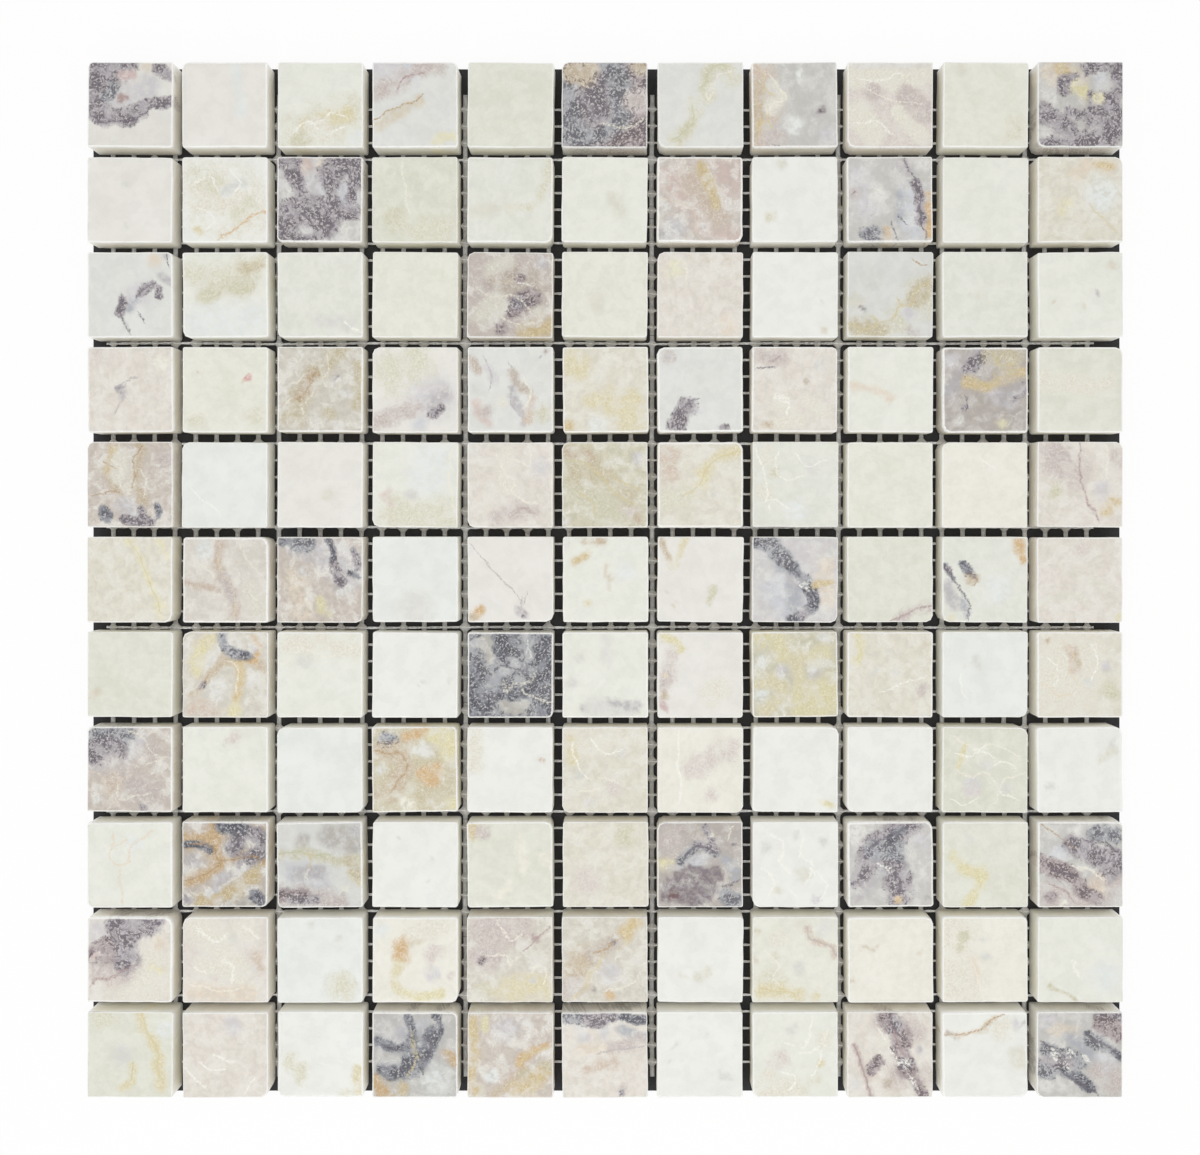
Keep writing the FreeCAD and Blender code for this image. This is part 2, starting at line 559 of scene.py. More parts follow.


# The stones' tones and figures, chosen one by one

# tones: colour, and how lively the stone is marked
tones = {
    "white": (srgb(234, 235, 230), 0.0),
    "cool": (srgb(230, 233, 229), 0.0),
    "shell": (srgb(234, 232, 221), 0.3),
    "pale": (srgb(230, 231, 222), 0.2),
    "milk": (srgb(230, 228, 222), 0.1),
    "mist": (srgb(222, 223, 219), 0.2),
    "sage": (srgb(225, 226, 217), 0.3),
    "green": (srgb(223, 224, 211), 0.3),
    "celadon": (srgb(219, 220, 205), 0.4),
    "cream": (srgb(228, 228, 216), 0.3),
    "ivory": (srgb(222, 218, 204), 0.7),
    "blush": (srgb(224, 218, 209), 0.7),
    "oat": (srgb(214, 209, 197), 0.9),
    "honey": (srgb(211, 207, 184), 1.0),
    "pink": (srgb(213, 206, 198), 1.0),
    "rosy": (srgb(207, 197, 187), 1.0),
    "lilac": (srgb(210, 207, 207), 0.5),
    "ash": (srgb(200, 198, 194), 0.5),
    "dusky": (srgb(184, 176, 170), 0.5),
}

# kinds of stroke: colour, and how it is drawn. Soft ones shade the plain stone and solid ones cover it,
# veined ones are mottled with pale veins, broken ones are crumpled with dark and pale curls, and
# threads are thin lines.
stains = {
    "violet": (srgb(158, 151, 156), "broken"),
    "slate": (srgb(152, 154, 159), "broken"),
    "graphite": (srgb(118, 121, 130), "broken"),
    "plum": (srgb(158, 144, 145), "broken"),
    "smoke": (srgb(186, 182, 185), "soft"),
    "lilac": (srgb(208, 205, 208), "soft"),
    "blue": (srgb(205, 207, 213), "soft"),
    "milk": (srgb(222, 221, 216), "soft"),
    "steel": (srgb(174, 177, 184), "soft"),
    "dun": (srgb(186, 182, 175), "soft"),
    "cool": (srgb(227, 231, 229), "soft"),
    "fog": (srgb(214, 214, 209), "soft"),
    "blot": (srgb(110, 100, 106), "soft"),
    "rose": (srgb(211, 192, 184), "soft"),
    "pink": (srgb(200, 174, 172), "soft"),
    "roseBrown": (srgb(172, 150, 148), "soft"),
    "oxblood": (srgb(108, 78, 82), "soft"),
    "cherry": (srgb(203, 116, 120), "solid"),
    "peach": (srgb(225, 213, 196), "soft"),
    "fawn": (srgb(212, 203, 184), "soft"),
    "fawnPale": (srgb(219, 217, 204), "soft"),
    "lemon": (srgb(226, 221, 190), "soft"),
    "ivory": (srgb(236, 233, 220), "soft"),
    "maroon": (srgb(127, 116, 122), "solid"),
    "mauve": (srgb(204, 194, 190), "veined"),
    "mauvePale": (srgb(219, 211, 206), "veined"),
    "gold": (srgb(213, 195, 154), "veined"),
    "straw": (srgb(222, 214, 183), "veined"),
    "orange": (srgb(212, 183, 140), "veined"),
    "tan": (srgb(204, 190, 168), "veined"),
    "tanPink": (srgb(212, 198, 184), "veined"),
    "khaki": (srgb(206, 197, 171), "veined"),
    "olive": (srgb(212, 209, 187), "veined"),
    "buff": (srgb(221, 219, 202), "veined"),
    "yellow": (srgb(224, 217, 180), "veined"),
    "pearl": (srgb(229, 226, 214), "veined"),
    "taupe": (srgb(198, 187, 175), "veined"),
    "ink": (srgb(98, 90, 102), "thread"),
    "wine": (srgb(168, 140, 140), "thread"),
    "greyLine": (srgb(180, 175, 175), "thread"),
    "rust": (srgb(208, 172, 118), "thread"),
    "umber": (srgb(176, 144, 102), "thread"),
    "goldLine": (srgb(212, 198, 150), "thread"),
    "peachLine": (srgb(226, 212, 190), "thread"),
    "moss": (srgb(192, 195, 162), "thread"),
    "pearlLine": (srgb(238, 234, 221), "thread"),
    "chalk": (srgb(246, 245, 238), "thread"),
}

# stones[row, column] is a tone, with its shade in percent if that is below 100, and the strokes over it:
# kind, half width, and the places that it passes across and down the face, in percent of the stone's
# side from its top left corner
stones = {
    (1, 1): "milk 95; lilac 24 30,45 60,40; lilac 14 75,25; smoke 10 15,15 45,8; violet 13 5,5 40,2; "
            "violet 14 5,20 18,12; violet 5 82,4 98,18; violet 10 3,40 12,50; violet 7 5,58 20,65 "
            "45,65 62,58; violet 5 62,52 80,48 100,46; slate 4 30,30 24,42; pink 7 42,14 52,16; "
            "roseBrown 5 35,42 46,42; peach 6 70,5; ink 1.3 5,62 22,70 46,69 64,62 82,52 100,49",
    (1, 2): "milk; cool 6 62,5 70,60",
    (1, 3): "pale; buff 18 30,85 60,72 85,62; straw 6 35,78 60,66 80,62; olive 6 25,90 55,88; pearl 7 "
            "45,75 55,90; cool 10 92,88; chalk 1.4 20,82 36,70 48,78; chalk 1.3 50,68 66,60 82,66; "
            "chalk 1.2 60,85 75,78",
    (1, 4): "mist; lilac 18 5,10 40,5; mauve 9 0,35 25,28 45,12 75,3; blue 6 40,3; blue 6 52,22; "
            "fawn 8 5,75 30,60 55,45; lemon 7 75,92 98,88; wine 1.3 30,30 42,15 58,12; "
            "umber 1 0,68 25,55 45,48 60,38",
    (1, 5): "green; fawnPale 8 60,15",
    (1, 6): "rosy 91; plum 95 50,50; slate 15 10,35 45,15 55,55 20,75; violet 10 30,20 40,60; blue 6 "
            "14,27; tan 8 12,10 28,14; tan 6 92,5; mauve 9 88,45; pearlLine 1.5 45,72 75,78 95,70",
    (1, 7): "mist; buff 8 58,40 62,12 80,8 88,20; olive 5 60,14 72,8; buff 7 42,50 40,72 22,92; olive 4 "
            "38,72 25,88; moss 1 55,40 60,12 75,4 92,8; moss 1 50,30 58,20 64,32; moss 1 42,52 42,72 "
            "20,90; pearlLine 1 60,45 72,15 85,12",
    (1, 8): "ash; tanPink 16 5,10 12,50 10,95; tan 5 4,30 8,60 6,85; cool 12 50,75; cool 8 55,15; lilac "
            "12 88,85; gold 4 10,75 18,92; pearl 5 25,28 35,42 22,52; smoke 6 76,58; blot 3.5 76,56 "
            "84,55; mauve 10 28,90; goldLine 1.2 8,12 16,35 28,42 18,60 22,80; pearlLine 1.2 20,15 38,42 "
            "22,52; ink 1.2 25,97 32,98",
    (1, 9): "blush; mauvePale 70 50,50; pearl 9 10,15 45,8; pearl 8 55,22 90,12; pearl 8 12,60 30,85; "
            "pearl 6 62,60 85,85; mauve 7 70,40 90,60; mauve 6 30,35; milk 6 5,3 95,3; "
            "pearlLine 1 20,30 50,45 85,50; chalk 1.2 15,20 40,22 60,12; chalk 1.2 10,72 35,70 50,82",
    (1, 10): "cream; fawnPale 8 20,8; buff 12 85,80",
    (1, 11): "ash 94; peach 14 15,12 45,20; gold 8 30,8 40,18; blue 10 75,20; milk 10 15,40; milk 9 12,82; "
             "violet 6 30,28 45,22; yellow 6 50,30 58,42; violet 6 60,5 75,3; violet 7 95,10 97,30; "
             "violet 4 65,38 90,42; violet 12 80,50 75,65 95,70; violet 10 90,80 70,95 40,95; "
             "violet 8 5,60 20,68 35,80; violet 5 35,60 45,62; violet 5 5,95 25,95; yellow 4 72,42",
    (2, 1): "milk; fog 5 45,30; fog 5 45,80",
    (2, 2): "white; pearl 30 30,40 70,60; buff 6 20,20 40,35; buff 5 60,70 80,55; fog 8 50,40 70,30; "
            "straw 5 20,85; rust 1.8 40,98 65,82 98,62; chalk 1.2 15,30 30,22 42,40; chalk 1.2 55,15 "
            "68,28 60,45; chalk 1.1 20,60 38,70 30,85",
    (2, 3): "ash 92; lilac 80 50,50; rose 12 32,10; peach 10 55,10; milk 20 88,85; milk 12 12,45; blue 12 "
            "60,35 85,50; violet 10 62,22 75,8 98,5 98,25; violet 5 88,30 88,50; violet 6 5,8 18,5; "
            "violet 6 12,10 22,28 30,45; violet 5 62,30 66,55; violet 12 5,70 45,65 55,80; violet 9 66,62 "
            "60,75; violet 5 5,85 12,97 45,95; violet 5 70,65 95,64; ink 2 66,80 60,90",
    (2, 4): "celadon; olive 12 28,72; buff 12 50,90 80,85; pearlLine 1.3 35,5 36,30 45,65",
    (2, 5): "sage; fawnPale 8 5,65 30,60; buff 5 50,60 80,55 92,30 98,5",
    (2, 6): "pale; fawnPale 10 60,50 68,62",
    (2, 7): "pink 90; rose 40 70,20 50,40; lilac 14 20,85; milk 8 10,60; smoke 10 8,92; rose 16 12,25 "
            "30,45; peach 14 50,15 60,45; rose 14 55,80 90,92; tanPink 12 45,30 70,70; gold 4 48,8 62,32 "
            "70,55; goldLine 1 55,5 65,30 72,50; peachLine 1 0,48 30,55 42,65 48,90 52,98; peachLine 1 "
            "30,5 25,25 35,45; blot 2.5 53,80; blot 2.5 10,95",
    (2, 8): "white; fawnPale 7 35,8; buff 6 20,70",
    (2, 9): "ash; lilac 16 12,20 25,60; smoke 10 65,8 72,15; blue 18 75,45 78,80; steel 7 60,45 62,72; "
            "milk 12 35,40; milk 10 90,8; orange 5 95,45 96,90; orange 6 46,90; slate 8 27,92; "
            "blot 3.5 27,92; mauve 5 6,43; blot 2 7,43; violet 4 80,30 84,50 86,75; "
            "ink 1.5 65,0 70,8 80,25 85,45 86,75 92,95; ink 1.3 52,78 58,98; ink 1.2 62,70 70,78",
    (2, 10): "pale",
    (2, 11): "ivory; peach 10 45,20 60,8; peach 9 65,8 85,12; gold 4 70,8 85,12; lemon 7 30,62 35,55; "
             "cool 22 75,45; milk 5 62,58; goldLine 1 62,58 75,70 95,92",
    (3, 1): "mist; lilac 18 60,50; steel 8 48,64; steel 6 58,56; peach 8 78,10; smoke 6 88,28 96,35; "
            "smoke 5 92,5; smoke 4 45,85; violet 3.5 41,55 39,72; violet 3.5 62,50 76,38; violet 3 84,42 "
            "84,52; blot 2 68,42; ink 1.4 40,52 38,66 43,80 50,95; ink 1.4 60,52 68,42 78,36; ink 1.2 "
            "92,4 96,16; ink 1 60,72 66,82",
    (3, 2): "pale; fawnPale 20 30,40 75,35; buff 10 5,22 30,28 60,22 100,14; khaki 4 72,18 90,16; "
            "olive 7 25,52 50,45 80,40; cool 25 20,85 80,80",
    (3, 3): "sage; fog 8 50,80 85,85; chalk 1.3 78,82 98,95",
    (3, 4): "cream",
    (3, 5): "rosy 87; mauve 40 50,50; taupe 12 45,30 75,45; lilac 10 88,12; plum 7 52,64 74,55; violet 5 "
            "60,60; plum 5 38,90; plum 4 62,30; pearl 7 15,75 35,62; pearl 5 28,18 48,10; pearl 5 "
            "85,72; gold 8 72,96 98,86; blot 1.5 30,45; pearlLine 1.3 10,40 30,55 55,50 75,70; "
            "pearlLine 1.2 40,75 60,85 85,80; chalk 1.1 55,35 75,40; peachLine 1.1 20,25 40,38 60,26",
    (3, 6): "cream; fawnPale 14 40,60",
    (3, 7): "blush; lemon 12 20,20; pearlLine 1.2 33,15 33,35; fawn 3 40,8; fawn 3 62,9; fawn 3 80,8; "
            "peach 14 85,85",
    (3, 8): "white; fog 4 80,58; fawn 4 85,92",
    (3, 9): "mist 93; fog 14 30,30; fawnPale 10 10,60; buff 12 10,90 45,92; buff 14 65,80 88,45 95,60; "
            "lilac 10 72,72; khaki 6 12,85 35,92; khaki 6 80,55 92,35; mauve 6 80,95; umber 1 78,8 84,12 "
            "92,15; goldLine 1.2 28,75 36,82 52,80 60,66 60,55; goldLine 1.2 60,60 75,62 80,45 95,35; "
            "goldLine 1.2 5,85 20,92 35,86; blot 2 14,65; blot 2 18,67",
    (3, 10): "sage; fawnPale 7 40,50",
    (3, 11): "pale; smoke 3.5 72,48; fawn 3 55,62; fawn 3 20,60; fawn 6 88,15",
    (4, 1): "blush; mauvePale 10 15,10; smoke 6 42,54; ivory 8 88,20; violet 2.5 36,50 44,46; pearl "
            "2.5 42,42; blot 1.6 38,52; greyLine 1.1 36,50 46,42 58,36; greyLine 1.2 42,56 36,66 "
            "32,78",
    (4, 2): "cream; fawn 4 74,38; cherry 4.5 78,34; fawn 3 20,30; buff 8 15,85; buff 8 85,80; "
            "pearlLine 1.1 5,80 20,74 32,84",
    (4, 3): "oat 92; mauve 8 25,82; khaki 10 45,30 30,55 15,80; tan 5 38,35 28,55; khaki 8 62,15 75,6; "
            "khaki 5 95,20 96,70; khaki 7 60,78; milk 8 80,55; milk 7 70,92; lilac 5 68,36; blot 2.4 "
            "69,35; pearlLine 1.4 40,18 48,30 55,46; pearlLine 1.4 20,40 34,34 42,50 34,66; pearlLine "
            "1.3 10,66 24,60 30,76; pearlLine 1.2 58,10 60,26 50,38; umber 1.1 48,24 38,44 26,60",
    (4, 4): "milk; lilac 30 70,60; buff 20 20,30 50,15; mauve 8 5,90 20,85 35,75 50,75; smoke 10 70,65 "
            "85,55; violet 4 72,80 80,72; blue 10 55,90",
    (4, 5): "mist; taupe 5 4,18 12,28; fog 8 10,50; lilac 6 22,20 28,28 30,42; taupe 5 52,30 60,44 "
            "70,50; smoke 6 54,50 60,70; smoke 4 62,65 65,88; rose 6 10,65 15,80 25,90; mauve 6 "
            "20,75; tanPink 5 75,62 70,85; roseBrown 3 92,5; steel 3 88,12; olive 8 90,78; pearl 6 "
            "40,65; greyLine 1.1 48,20 56,40 52,62 60,80; greyLine 1.1 20,12 28,30 24,50; pearlLine "
            "1.2 66,35 74,50 66,70",
    (4, 6): "ivory; straw 13 8,20 20,28; straw 12 55,65 75,80 85,85; straw 8 35,65 55,62 85,60; gold 6 "
            "6,92; straw 8 25,35; cool 12 40,92",
    (4, 7): "mist; fog 8 50,35; smoke 5 40,72; blue 5 45,75; mauve 6 12,10; smoke 4 12,10; "
            "violet 8 35,72 25,85 22,95; violet 4 78,95; ink 1.4 45,62 20,78",
    (4, 8): "blush; mauve 8 10,10 32,12; roseBrown 3 18,18 32,10; pearl 7 30,65 45,70; pearl 6 55,85 "
            "25,90; pearl 6 62,62 85,75; milk 10 80,20; taupe 4 63,40; tan 4 15,92; peachLine 1.2 25,55 "
            "42,62 40,80; ink 1.2 5,25 25,22; chalk 1.3 28,60 44,66 38,76",
    (4, 9): "pale; peach 5 5,45 25,48 50,60",
    (4, 10): "dusky 92; lilac 12 10,15; milk 8 20,85; smoke 9 42,5 30,25 5,55; lilac 9 60,55 80,65; violet "
             "5 50,8 38,22 30,32; violet 5 95,50 82,58; violet 3 25,70; smoke 8 70,62 90,50; khaki 8 60,12 "
             "85,8 75,25; gold 5 28,42 50,46 70,38 95,30; lemon 8 70,90; blot 2 52,15; goldLine 1.3 30,36 "
             "50,42 70,34 95,26; goldLine 1.2 60,8 66,20 85,22; goldLine 1.2 55,45 62,40 60,30; ink 1.2 "
             "25,58 28,70",
    (4, 11): "green; pearl 10 10,38 45,45 80,40",
    (5, 1): "rosy 93; lilac 14 45,75; blue 7 55,85; tan 6 35,10 28,35 35,55; gold 5 30,8 24,30; tan 6 "
            "60,5 57,30 60,55 65,70; pearl 7 42,18 40,38; pearl 5 48,50; graphite 4 18,80 26,90; "
            "violet 4 45,92 60,95 75,92; violet 3 62,80 68,88; graphite 3 82,75 85,84; mauve 8 90,20; "
            "umber 1.2 62,5 54,18 56,40 52,55; umber 1.2 22,25 30,30 42,38; umber 1.1 5,62 30,58 "
            "45,62; pearlLine 1.2 30,20 40,30 38,48 50,60; pearlLine 1.2 62,30 70,45 66,62",
    (5, 2): "cool; chalk 1.2 10,55 45,85",
    (5, 3): "milk; fawnPale 8 60,60",
    (5, 4): "pale; cool 25 70,15 65,45; lilac 8 45,62; rose 6 18,60 22,85; buff 18 30,85 80,90; "
            "pearlLine 1.3 92,10 90,45 96,80",
    (5, 5): "blush; milk 10 5,10; pearl 7 45,15 42,40 50,60; mauve 8 35,90 55,80 75,82; roseBrown 4 "
            "50,88 62,78 75,82; roseBrown 3 35,95; lilac 12 85,30; pearlLine 1.5 35,15 42,35 55,45 "
            "50,60; pearlLine 1.2 55,22 75,25 72,5; pearlLine 1.2 52,60 66,68 80,72",
    (5, 6): "honey 95; lilac 9 88,20; mauvePale 10 78,80; olive 14 15,55 40,75 50,95; khaki 8 15,35 "
            "35,40; khaki 7 5,8 30,15 50,35 65,50 85,65; tan 4 8,10 30,18; tan 4 88,92; milk 5 3,95; "
            "goldLine 1.3 8,20 30,26 48,42 60,60 85,72; goldLine 1.2 60,40 75,50 90,55; goldLine 1.1 "
            "20,60 36,72 40,88",
    (5, 7): "ivory; tanPink 10 10,10 15,35; roseBrown 3 12,15; straw 6 95,8 70,18 55,35 50,48; buff 7 "
            "35,62 5,72; yellow 6 53,50; fog 5 68,60; goldLine 1 92,10 70,20 56,36 48,50 30,64",
    (5, 8): "sage; cool 14 50,80; fog 8 70,30; pearl 10 20,20; pearl 8 15,60; olive 5 25,35; chalk "
            "1.2 5,10 15,40 20,80; chalk 1.1 30,10 26,30 40,45 60,40; chalk 1 50,15 66,28 85,22; "
            "chalk 1 12,70 30,66 42,80",
    (5, 9): "cream; fawnPale 6 28,40",
    (5, 10): "shell; chalk 1 45,20 60,30",
    (5, 11): "blush; mauve 18 20,15 35,30; mauve 8 92,20; olive 8 20,60; lilac 12 75,55; gold 6 80,80 "
             "92,72; wine 1.3 50,0 50,45 60,70 72,92; pearlLine 1.3 80,5 82,40",
    (6, 1): "ivory; lemon 5 50,0 65,30 75,60 88,90; lemon 4 80,0 95,25; lemon 8 88,85; "
            "goldLine 0.7 50,0 65,30 75,60 88,90",
    (6, 2): "blush 92; cool 12 25,15; tanPink 6 45,5 42,35 55,60 62,80 62,98; tan 3 45,30 52,50 60,75; "
            "tanPink 4 0,50 20,58 45,62; mauve 4 52,45 58,70; pearl 8 80,60 90,90; pearlLine 1.2 65,8 "
            "78,28 92,45; peachLine 1.2 44,20 46,40 58,60 62,90; pearlLine 1.1 20,30 35,45",
    (6, 3): "rosy 91; smoke 14 20,10 45,15; lilac 25 60,20 85,40; smoke 10 75,60; peach 16 20,50 30,85; "
            "milk 8 30,40; yellow 5 50,75 52,85; yellow 3 62,92; graphite 5 8,3 38,8; slate 5 20,10 "
            "35,6; graphite 2.5 58,2 66,15 64,35 72,50; violet 3 90,15 95,35; graphite 2.5 85,42 "
            "96,48; violet 4 66,35 75,52; ink 1.3 60,2 67,18 64,36 74,54; pearlLine 1.2 40,30 50,45 "
            "60,40",
    (6, 4): "cool; milk 25 50,85",
    (6, 5): "milk; smoke 5 60,85 68,90; orange 4 8,92 15,82; tan 3 5,95; violet 2 66,92; roseBrown 2 "
            "70,88; greyLine 0.9 5,8 30,38 55,66 62,80; greyLine 0.9 70,65 63,85; blot 1.5 8,40",
    (6, 6): "pale; tan 5 28,5 45,3; gold 4 30,20 15,28; milk 4 5,10; straw 4 30,78; fawn 3 50,35 "
            "55,60; cool 12 75,40",
    (6, 7): "milk; tan 3.5 5,5 18,35; straw 3.5 32,3 20,35; olive 3.5 66,60 60,76; fawn 3 20,80; "
            "smoke 2 12,62",
    (6, 8): "lilac 97; blue 22 30,60 45,80; steel 12 20,10 45,35; steel 13 50,58 50,92; peach 12 85,30 "
            "88,75; smoke 10 50,50; steel 9 60,88; steel 7 30,35; milk 10 12,45; milk 8 90,20; milk 7 "
            "85,85; graphite 5 5,5 22,10 38,28 46,34; slate 7 20,8 36,24; graphite 4 48,38 60,50 66,60; "
            "slate 5 62,52; graphite 4.5 68,64 72,76 60,92 45,98; violet 4 60,90; gold 3 74,56 95,52; ink "
            "1.4 45,34 62,54 70,74; chalk 1.5 57,57 64,60",
    (6, 9): "green; mauve 6 60,97 75,88 92,82; wine 1.2 50,98 75,88 98,80",
    (6, 10): "sage; lilac 8 10,70; smoke 8 5,55 15,80; graphite 4 24,34 34,46; graphite 2.5 2,34 "
             "12,50; violet 3 8,40; tan 4 30,50 38,48; umber 1.6 30,42 40,48 34,54; orange 5 88,5 "
             "94,25; yellow 4 8,96; steel 5 22,75 30,90; ink 1.5 0,35 12,50 25,65 32,85 30,95; ink 1.2 "
             "28,36 38,44; cool 16 65,60",
    (6, 11): "blush; mauvePale 8 50,15; fawnPale 5 5,78 30,70 60,75; fawnPale 5 40,40 80,60; yellow 5 "
             "95,95",
    (7, 1): "green; fawn 5 5,75 15,68; fawn 2.5 38,52; fawn 2.5 47,78",
    (7, 2): "oat; milk 12 35,35; milk 12 60,15; milk 15 40,68; milk 10 80,55; straw 8 22,20 35,8 "
            "48,5; yellow 7 18,30 18,45; tan 5 32,48 24,62 8,75; tan 4 50,28 40,42 32,50; tan 5 50,30 "
            "60,36 75,32 95,42; gold 5 65,38 70,50 68,65 60,92; tanPink 8 15,90 35,92; yellow 7 "
            "60,95; orange 4 85,5 88,20 80,30; slate 4 48,5 50,16; graphite 4 62,25 75,26; slate 4 "
            "58,22; violet 3 25,62; smoke 6 82,18; umber 1 30,50 24,64; pearlLine 1.2 55,34 66,44 "
            "64,70",
    (7, 3): "pale; fog 10 30,32; pearl 12 10,20 50,12 90,20; pearlLine 1.2 5,40 30,20 60,30 95,15",
    (7, 4): "white; fog 3 90,52; fog 3 58,60",
    (7, 5): "ash 86; slate 95 50,50; steel 7 8,12; dun 10 22,10 25,30; graphite 7 45,3 40,20; steel 9 "
            "70,8 72,30; steel 7 52,30 56,40; graphite 6 92,10 92,50; steel 9 42,48 28,60; steel 8 "
            "60,55; dun 12 45,88 62,88; graphite 6 5,45 5,95; graphite 7 15,85; graphite 6 92,90; "
            "graphite 4 40,72 60,75 75,66; ink 1.6 36,42 50,41 62,43; ink 1.3 65,18 67,30; ink 1.3 "
            "20,72 35,80; pearlLine 1.6 44,60 45,70 55,63 68,58 78,50; pearlLine 1.4 65,62 68,72 "
            "78,76 95,80; chalk 1 70,10 76,30",
    (7, 6): "pale; milk 6 50,5 55,40; fog 8 10,60; fog 12 30,90 80,92; smoke 5 60,82 88,86; smoke 4 "
            "20,88; dun 3 90,94; fog 6 20,30; milk 6 35,80",
    (7, 7): "milk; mauvePale 8 15,30 10,60; yellow 4 5,5 20,10 28,18; mauve 4 8,40 8,75; roseBrown "
            "2.5 8,55; pink 3 6,82 10,92; orange 2 7,50; tan 2.5 9,75; pearl 14 70,70",
    (7, 8): "honey 93; cool 8 12,75; cool 9 10,35; lilac 8 35,45; lilac 9 75,50; milk 8 85,8; "
            "yellow 8 5,5 30,5 35,25 55,30 85,25; straw 6 52,30 55,55 52,75 55,95; "
            "straw 6 8,60 25,58 35,75 15,92; yellow 14 70,75 95,70 70,95",
    (7, 9): "ivory; yellow 5 12,5 15,20 10,35; fog 4 48,22; fog 4 30,45; fog 4 55,48; mauve 7 88,68; "
            "fawn 5 92,15; chalk 1.2 40,70 90,50",
    (7, 10): "cool; fog 8 40,35; milk 3 25,40; milk 3 45,43; chalk 1.2 22,50 23,70 28,78",
    (7, 11): "ivory; pearl 40 30,50; pearl 10 70,20; tan 3 12,10; tanPink 4 40,20 45,40; tan 2.5 44,26 "
             "48,36; lilac 8 80,40; olive 8 88,70; fog 6 60,60; peachLine 1.2 30,10 42,26 38,45 50,62; "
             "peachLine 1.1 10,60 25,75 40,72; chalk 1.1 62,15 70,35 64,55; chalk 1 12,30 24,42 20,60",
    (8, 1): "rosy 91; lilac 22 15,35 45,20; smoke 14 5,20 30,32; lilac 12 60,15; slate 10 12,15 40,10; "
            "violet 9 8,30 32,28; mauve 14 35,60 75,80; mauve 10 75,30; milk 7 10,85; tanPink 8 "
            "28,72; violet 3 65,95; peachLine 1.3 5,52 15,55 25,80 32,88; pearlLine 1.3 35,65 38,85 "
            "60,80 70,78; peachLine 1.2 30,55 42,62 50,55; pearlLine 1.2 50,5 68,15 75,30 95,35; "
            "pearlLine 1 70,45 85,38",
    (8, 2): "pale; mauvePale 8 60,15",
    (8, 3): "cool",
    (8, 4): "honey; khaki 55 50,45; slate 7 18,18; milk 9 10,50; milk 12 60,28; tan 6 5,28 30,30 40,20; "
            "tan 5 30,25 40,45 30,60 25,75; orange 4 40,10 60,5; tan 6 5,80 25,75 30,62; "
            "orange 5 62,55 75,50 70,62; yellow 7 75,10 90,10 92,30; yellow 5 95,92; ivory 12 40,90; "
            "umber 1.4 5,28 30,30 40,45 30,62 22,76",
    (8, 5): "white; pearl 8 8,5 8,45; tanPink 3 88,38",
    (8, 6): "ivory; pearl 10 15,25; straw 4 8,15 12,40; fog 8 20,55; fog 7 70,30; mauvePale 8 60,70; "
            "milk 8 30,88; pearl 10 45,20; pearlLine 1.4 45,60 65,65; chalk 1.2 10,20 18,45 30,60; "
            "chalk 1.1 35,15 50,30 70,25; pearlLine 1.2 20,75 45,72",
    (8, 7): "shell; mauvePale 10 40,50 85,25; mauvePale 8 65,80; chalk 1.2 25,5 22,40 27,60 26,90",
    (8, 8): "white; yellow 3 80,88 92,92",
    (8, 9): "white",
    (8, 10): "celadon; lilac 13 35,70; mauvePale 7 35,75; fog 8 50,45; fog 8 75,70; yellow 3 25,20 "
             "20,45; pearlLine 1.3 20,52 34,58 48,54 60,66; pearlLine 1.2 10,10 40,25 60,20 90,35; "
             "pearlLine 1.2 60,90 75,60 95,55; chalk 1.1 15,30 30,35 45,28 62,36; chalk 1.1 60,45 "
             "72,40 85,48; chalk 1 10,85 24,90 40,84; chalk 1 70,78 86,84",
    (8, 11): "white; fog 6 88,20; fawnPale 5 75,40 90,28; fog 5 12,70",
    (9, 1): "pale; cool 10 55,25; peachLine 1.6 30,15 28,40 35,50 48,48 50,30 75,10; "
            "peachLine 1.2 38,55 40,75 42,95; peachLine 1.2 32,28 45,22",
    (9, 2): "rosy 82; tanPink 14 30,25; lilac 10 12,48; lilac 12 45,62; smoke 8 12,45; dun 16 70,15 "
            "80,40; dun 10 50,95 80,92; orange 7 5,18 40,14 40,5; orange 6 10,25 35,30 45,45 75,38 "
            "95,45 95,15; orange 6 5,70 25,60 45,50; gold 7 15,92 55,85 75,70 85,60; violet 6 58,30 "
            "75,12 90,18; graphite 6 50,5 66,4; graphite 3 5,24 30,32; violet 6 90,35 78,44; graphite "
            "5 94,92 84,84; violet 5 70,50; violet 4 5,92; umber 1.3 10,25 35,30 45,45 75,40 95,45; "
            "umber 1.2 5,70 25,60 45,50; ink 1.3 60,8 66,22 60,34; lilac 5 30,85 75,52; pearlLine 1.4 "
            "45,78 70,60",
    (9, 3): "mist 89; dun 18 65,14 88,25; dun 12 30,22; smoke 9 95,10; milk 10 12,12; blue 16 20,60 "
            "48,66; olive 6 5,38 35,34 45,40 70,45 95,45; straw 7 88,52 98,68; khaki 4 85,45 96,60; smoke "
            "10 24,62 50,58; mauve 12 5,88 40,88 68,95; plum 5 5,85 30,88; violet 3 15,92 45,92; ivory 5 "
            "80,78; moss 1.2 3,36 25,34 38,38 60,37; goldLine 1.2 37,38 36,62; pearlLine 1.3 34,60 36,66",
    (9, 4): "white; fog 3 65,70; fog 3 70,45; fog 3 30,20",
    (9, 5): "green; gold 8 10,10; mauve 6 20,12; ivory 6 60,20 65,40 68,55; ivory 5 35,88 50,75; "
            "ivory 5 88,40 98,50",
    (9, 6): "ivory; olive 10 75,15; mauvePale 14 30,70",
    (9, 7): "dusky 95; yellow 6 20,40 5,50; mauve 12 15,20; roseBrown 5 30,8; graphite 5 82,88 95,92; "
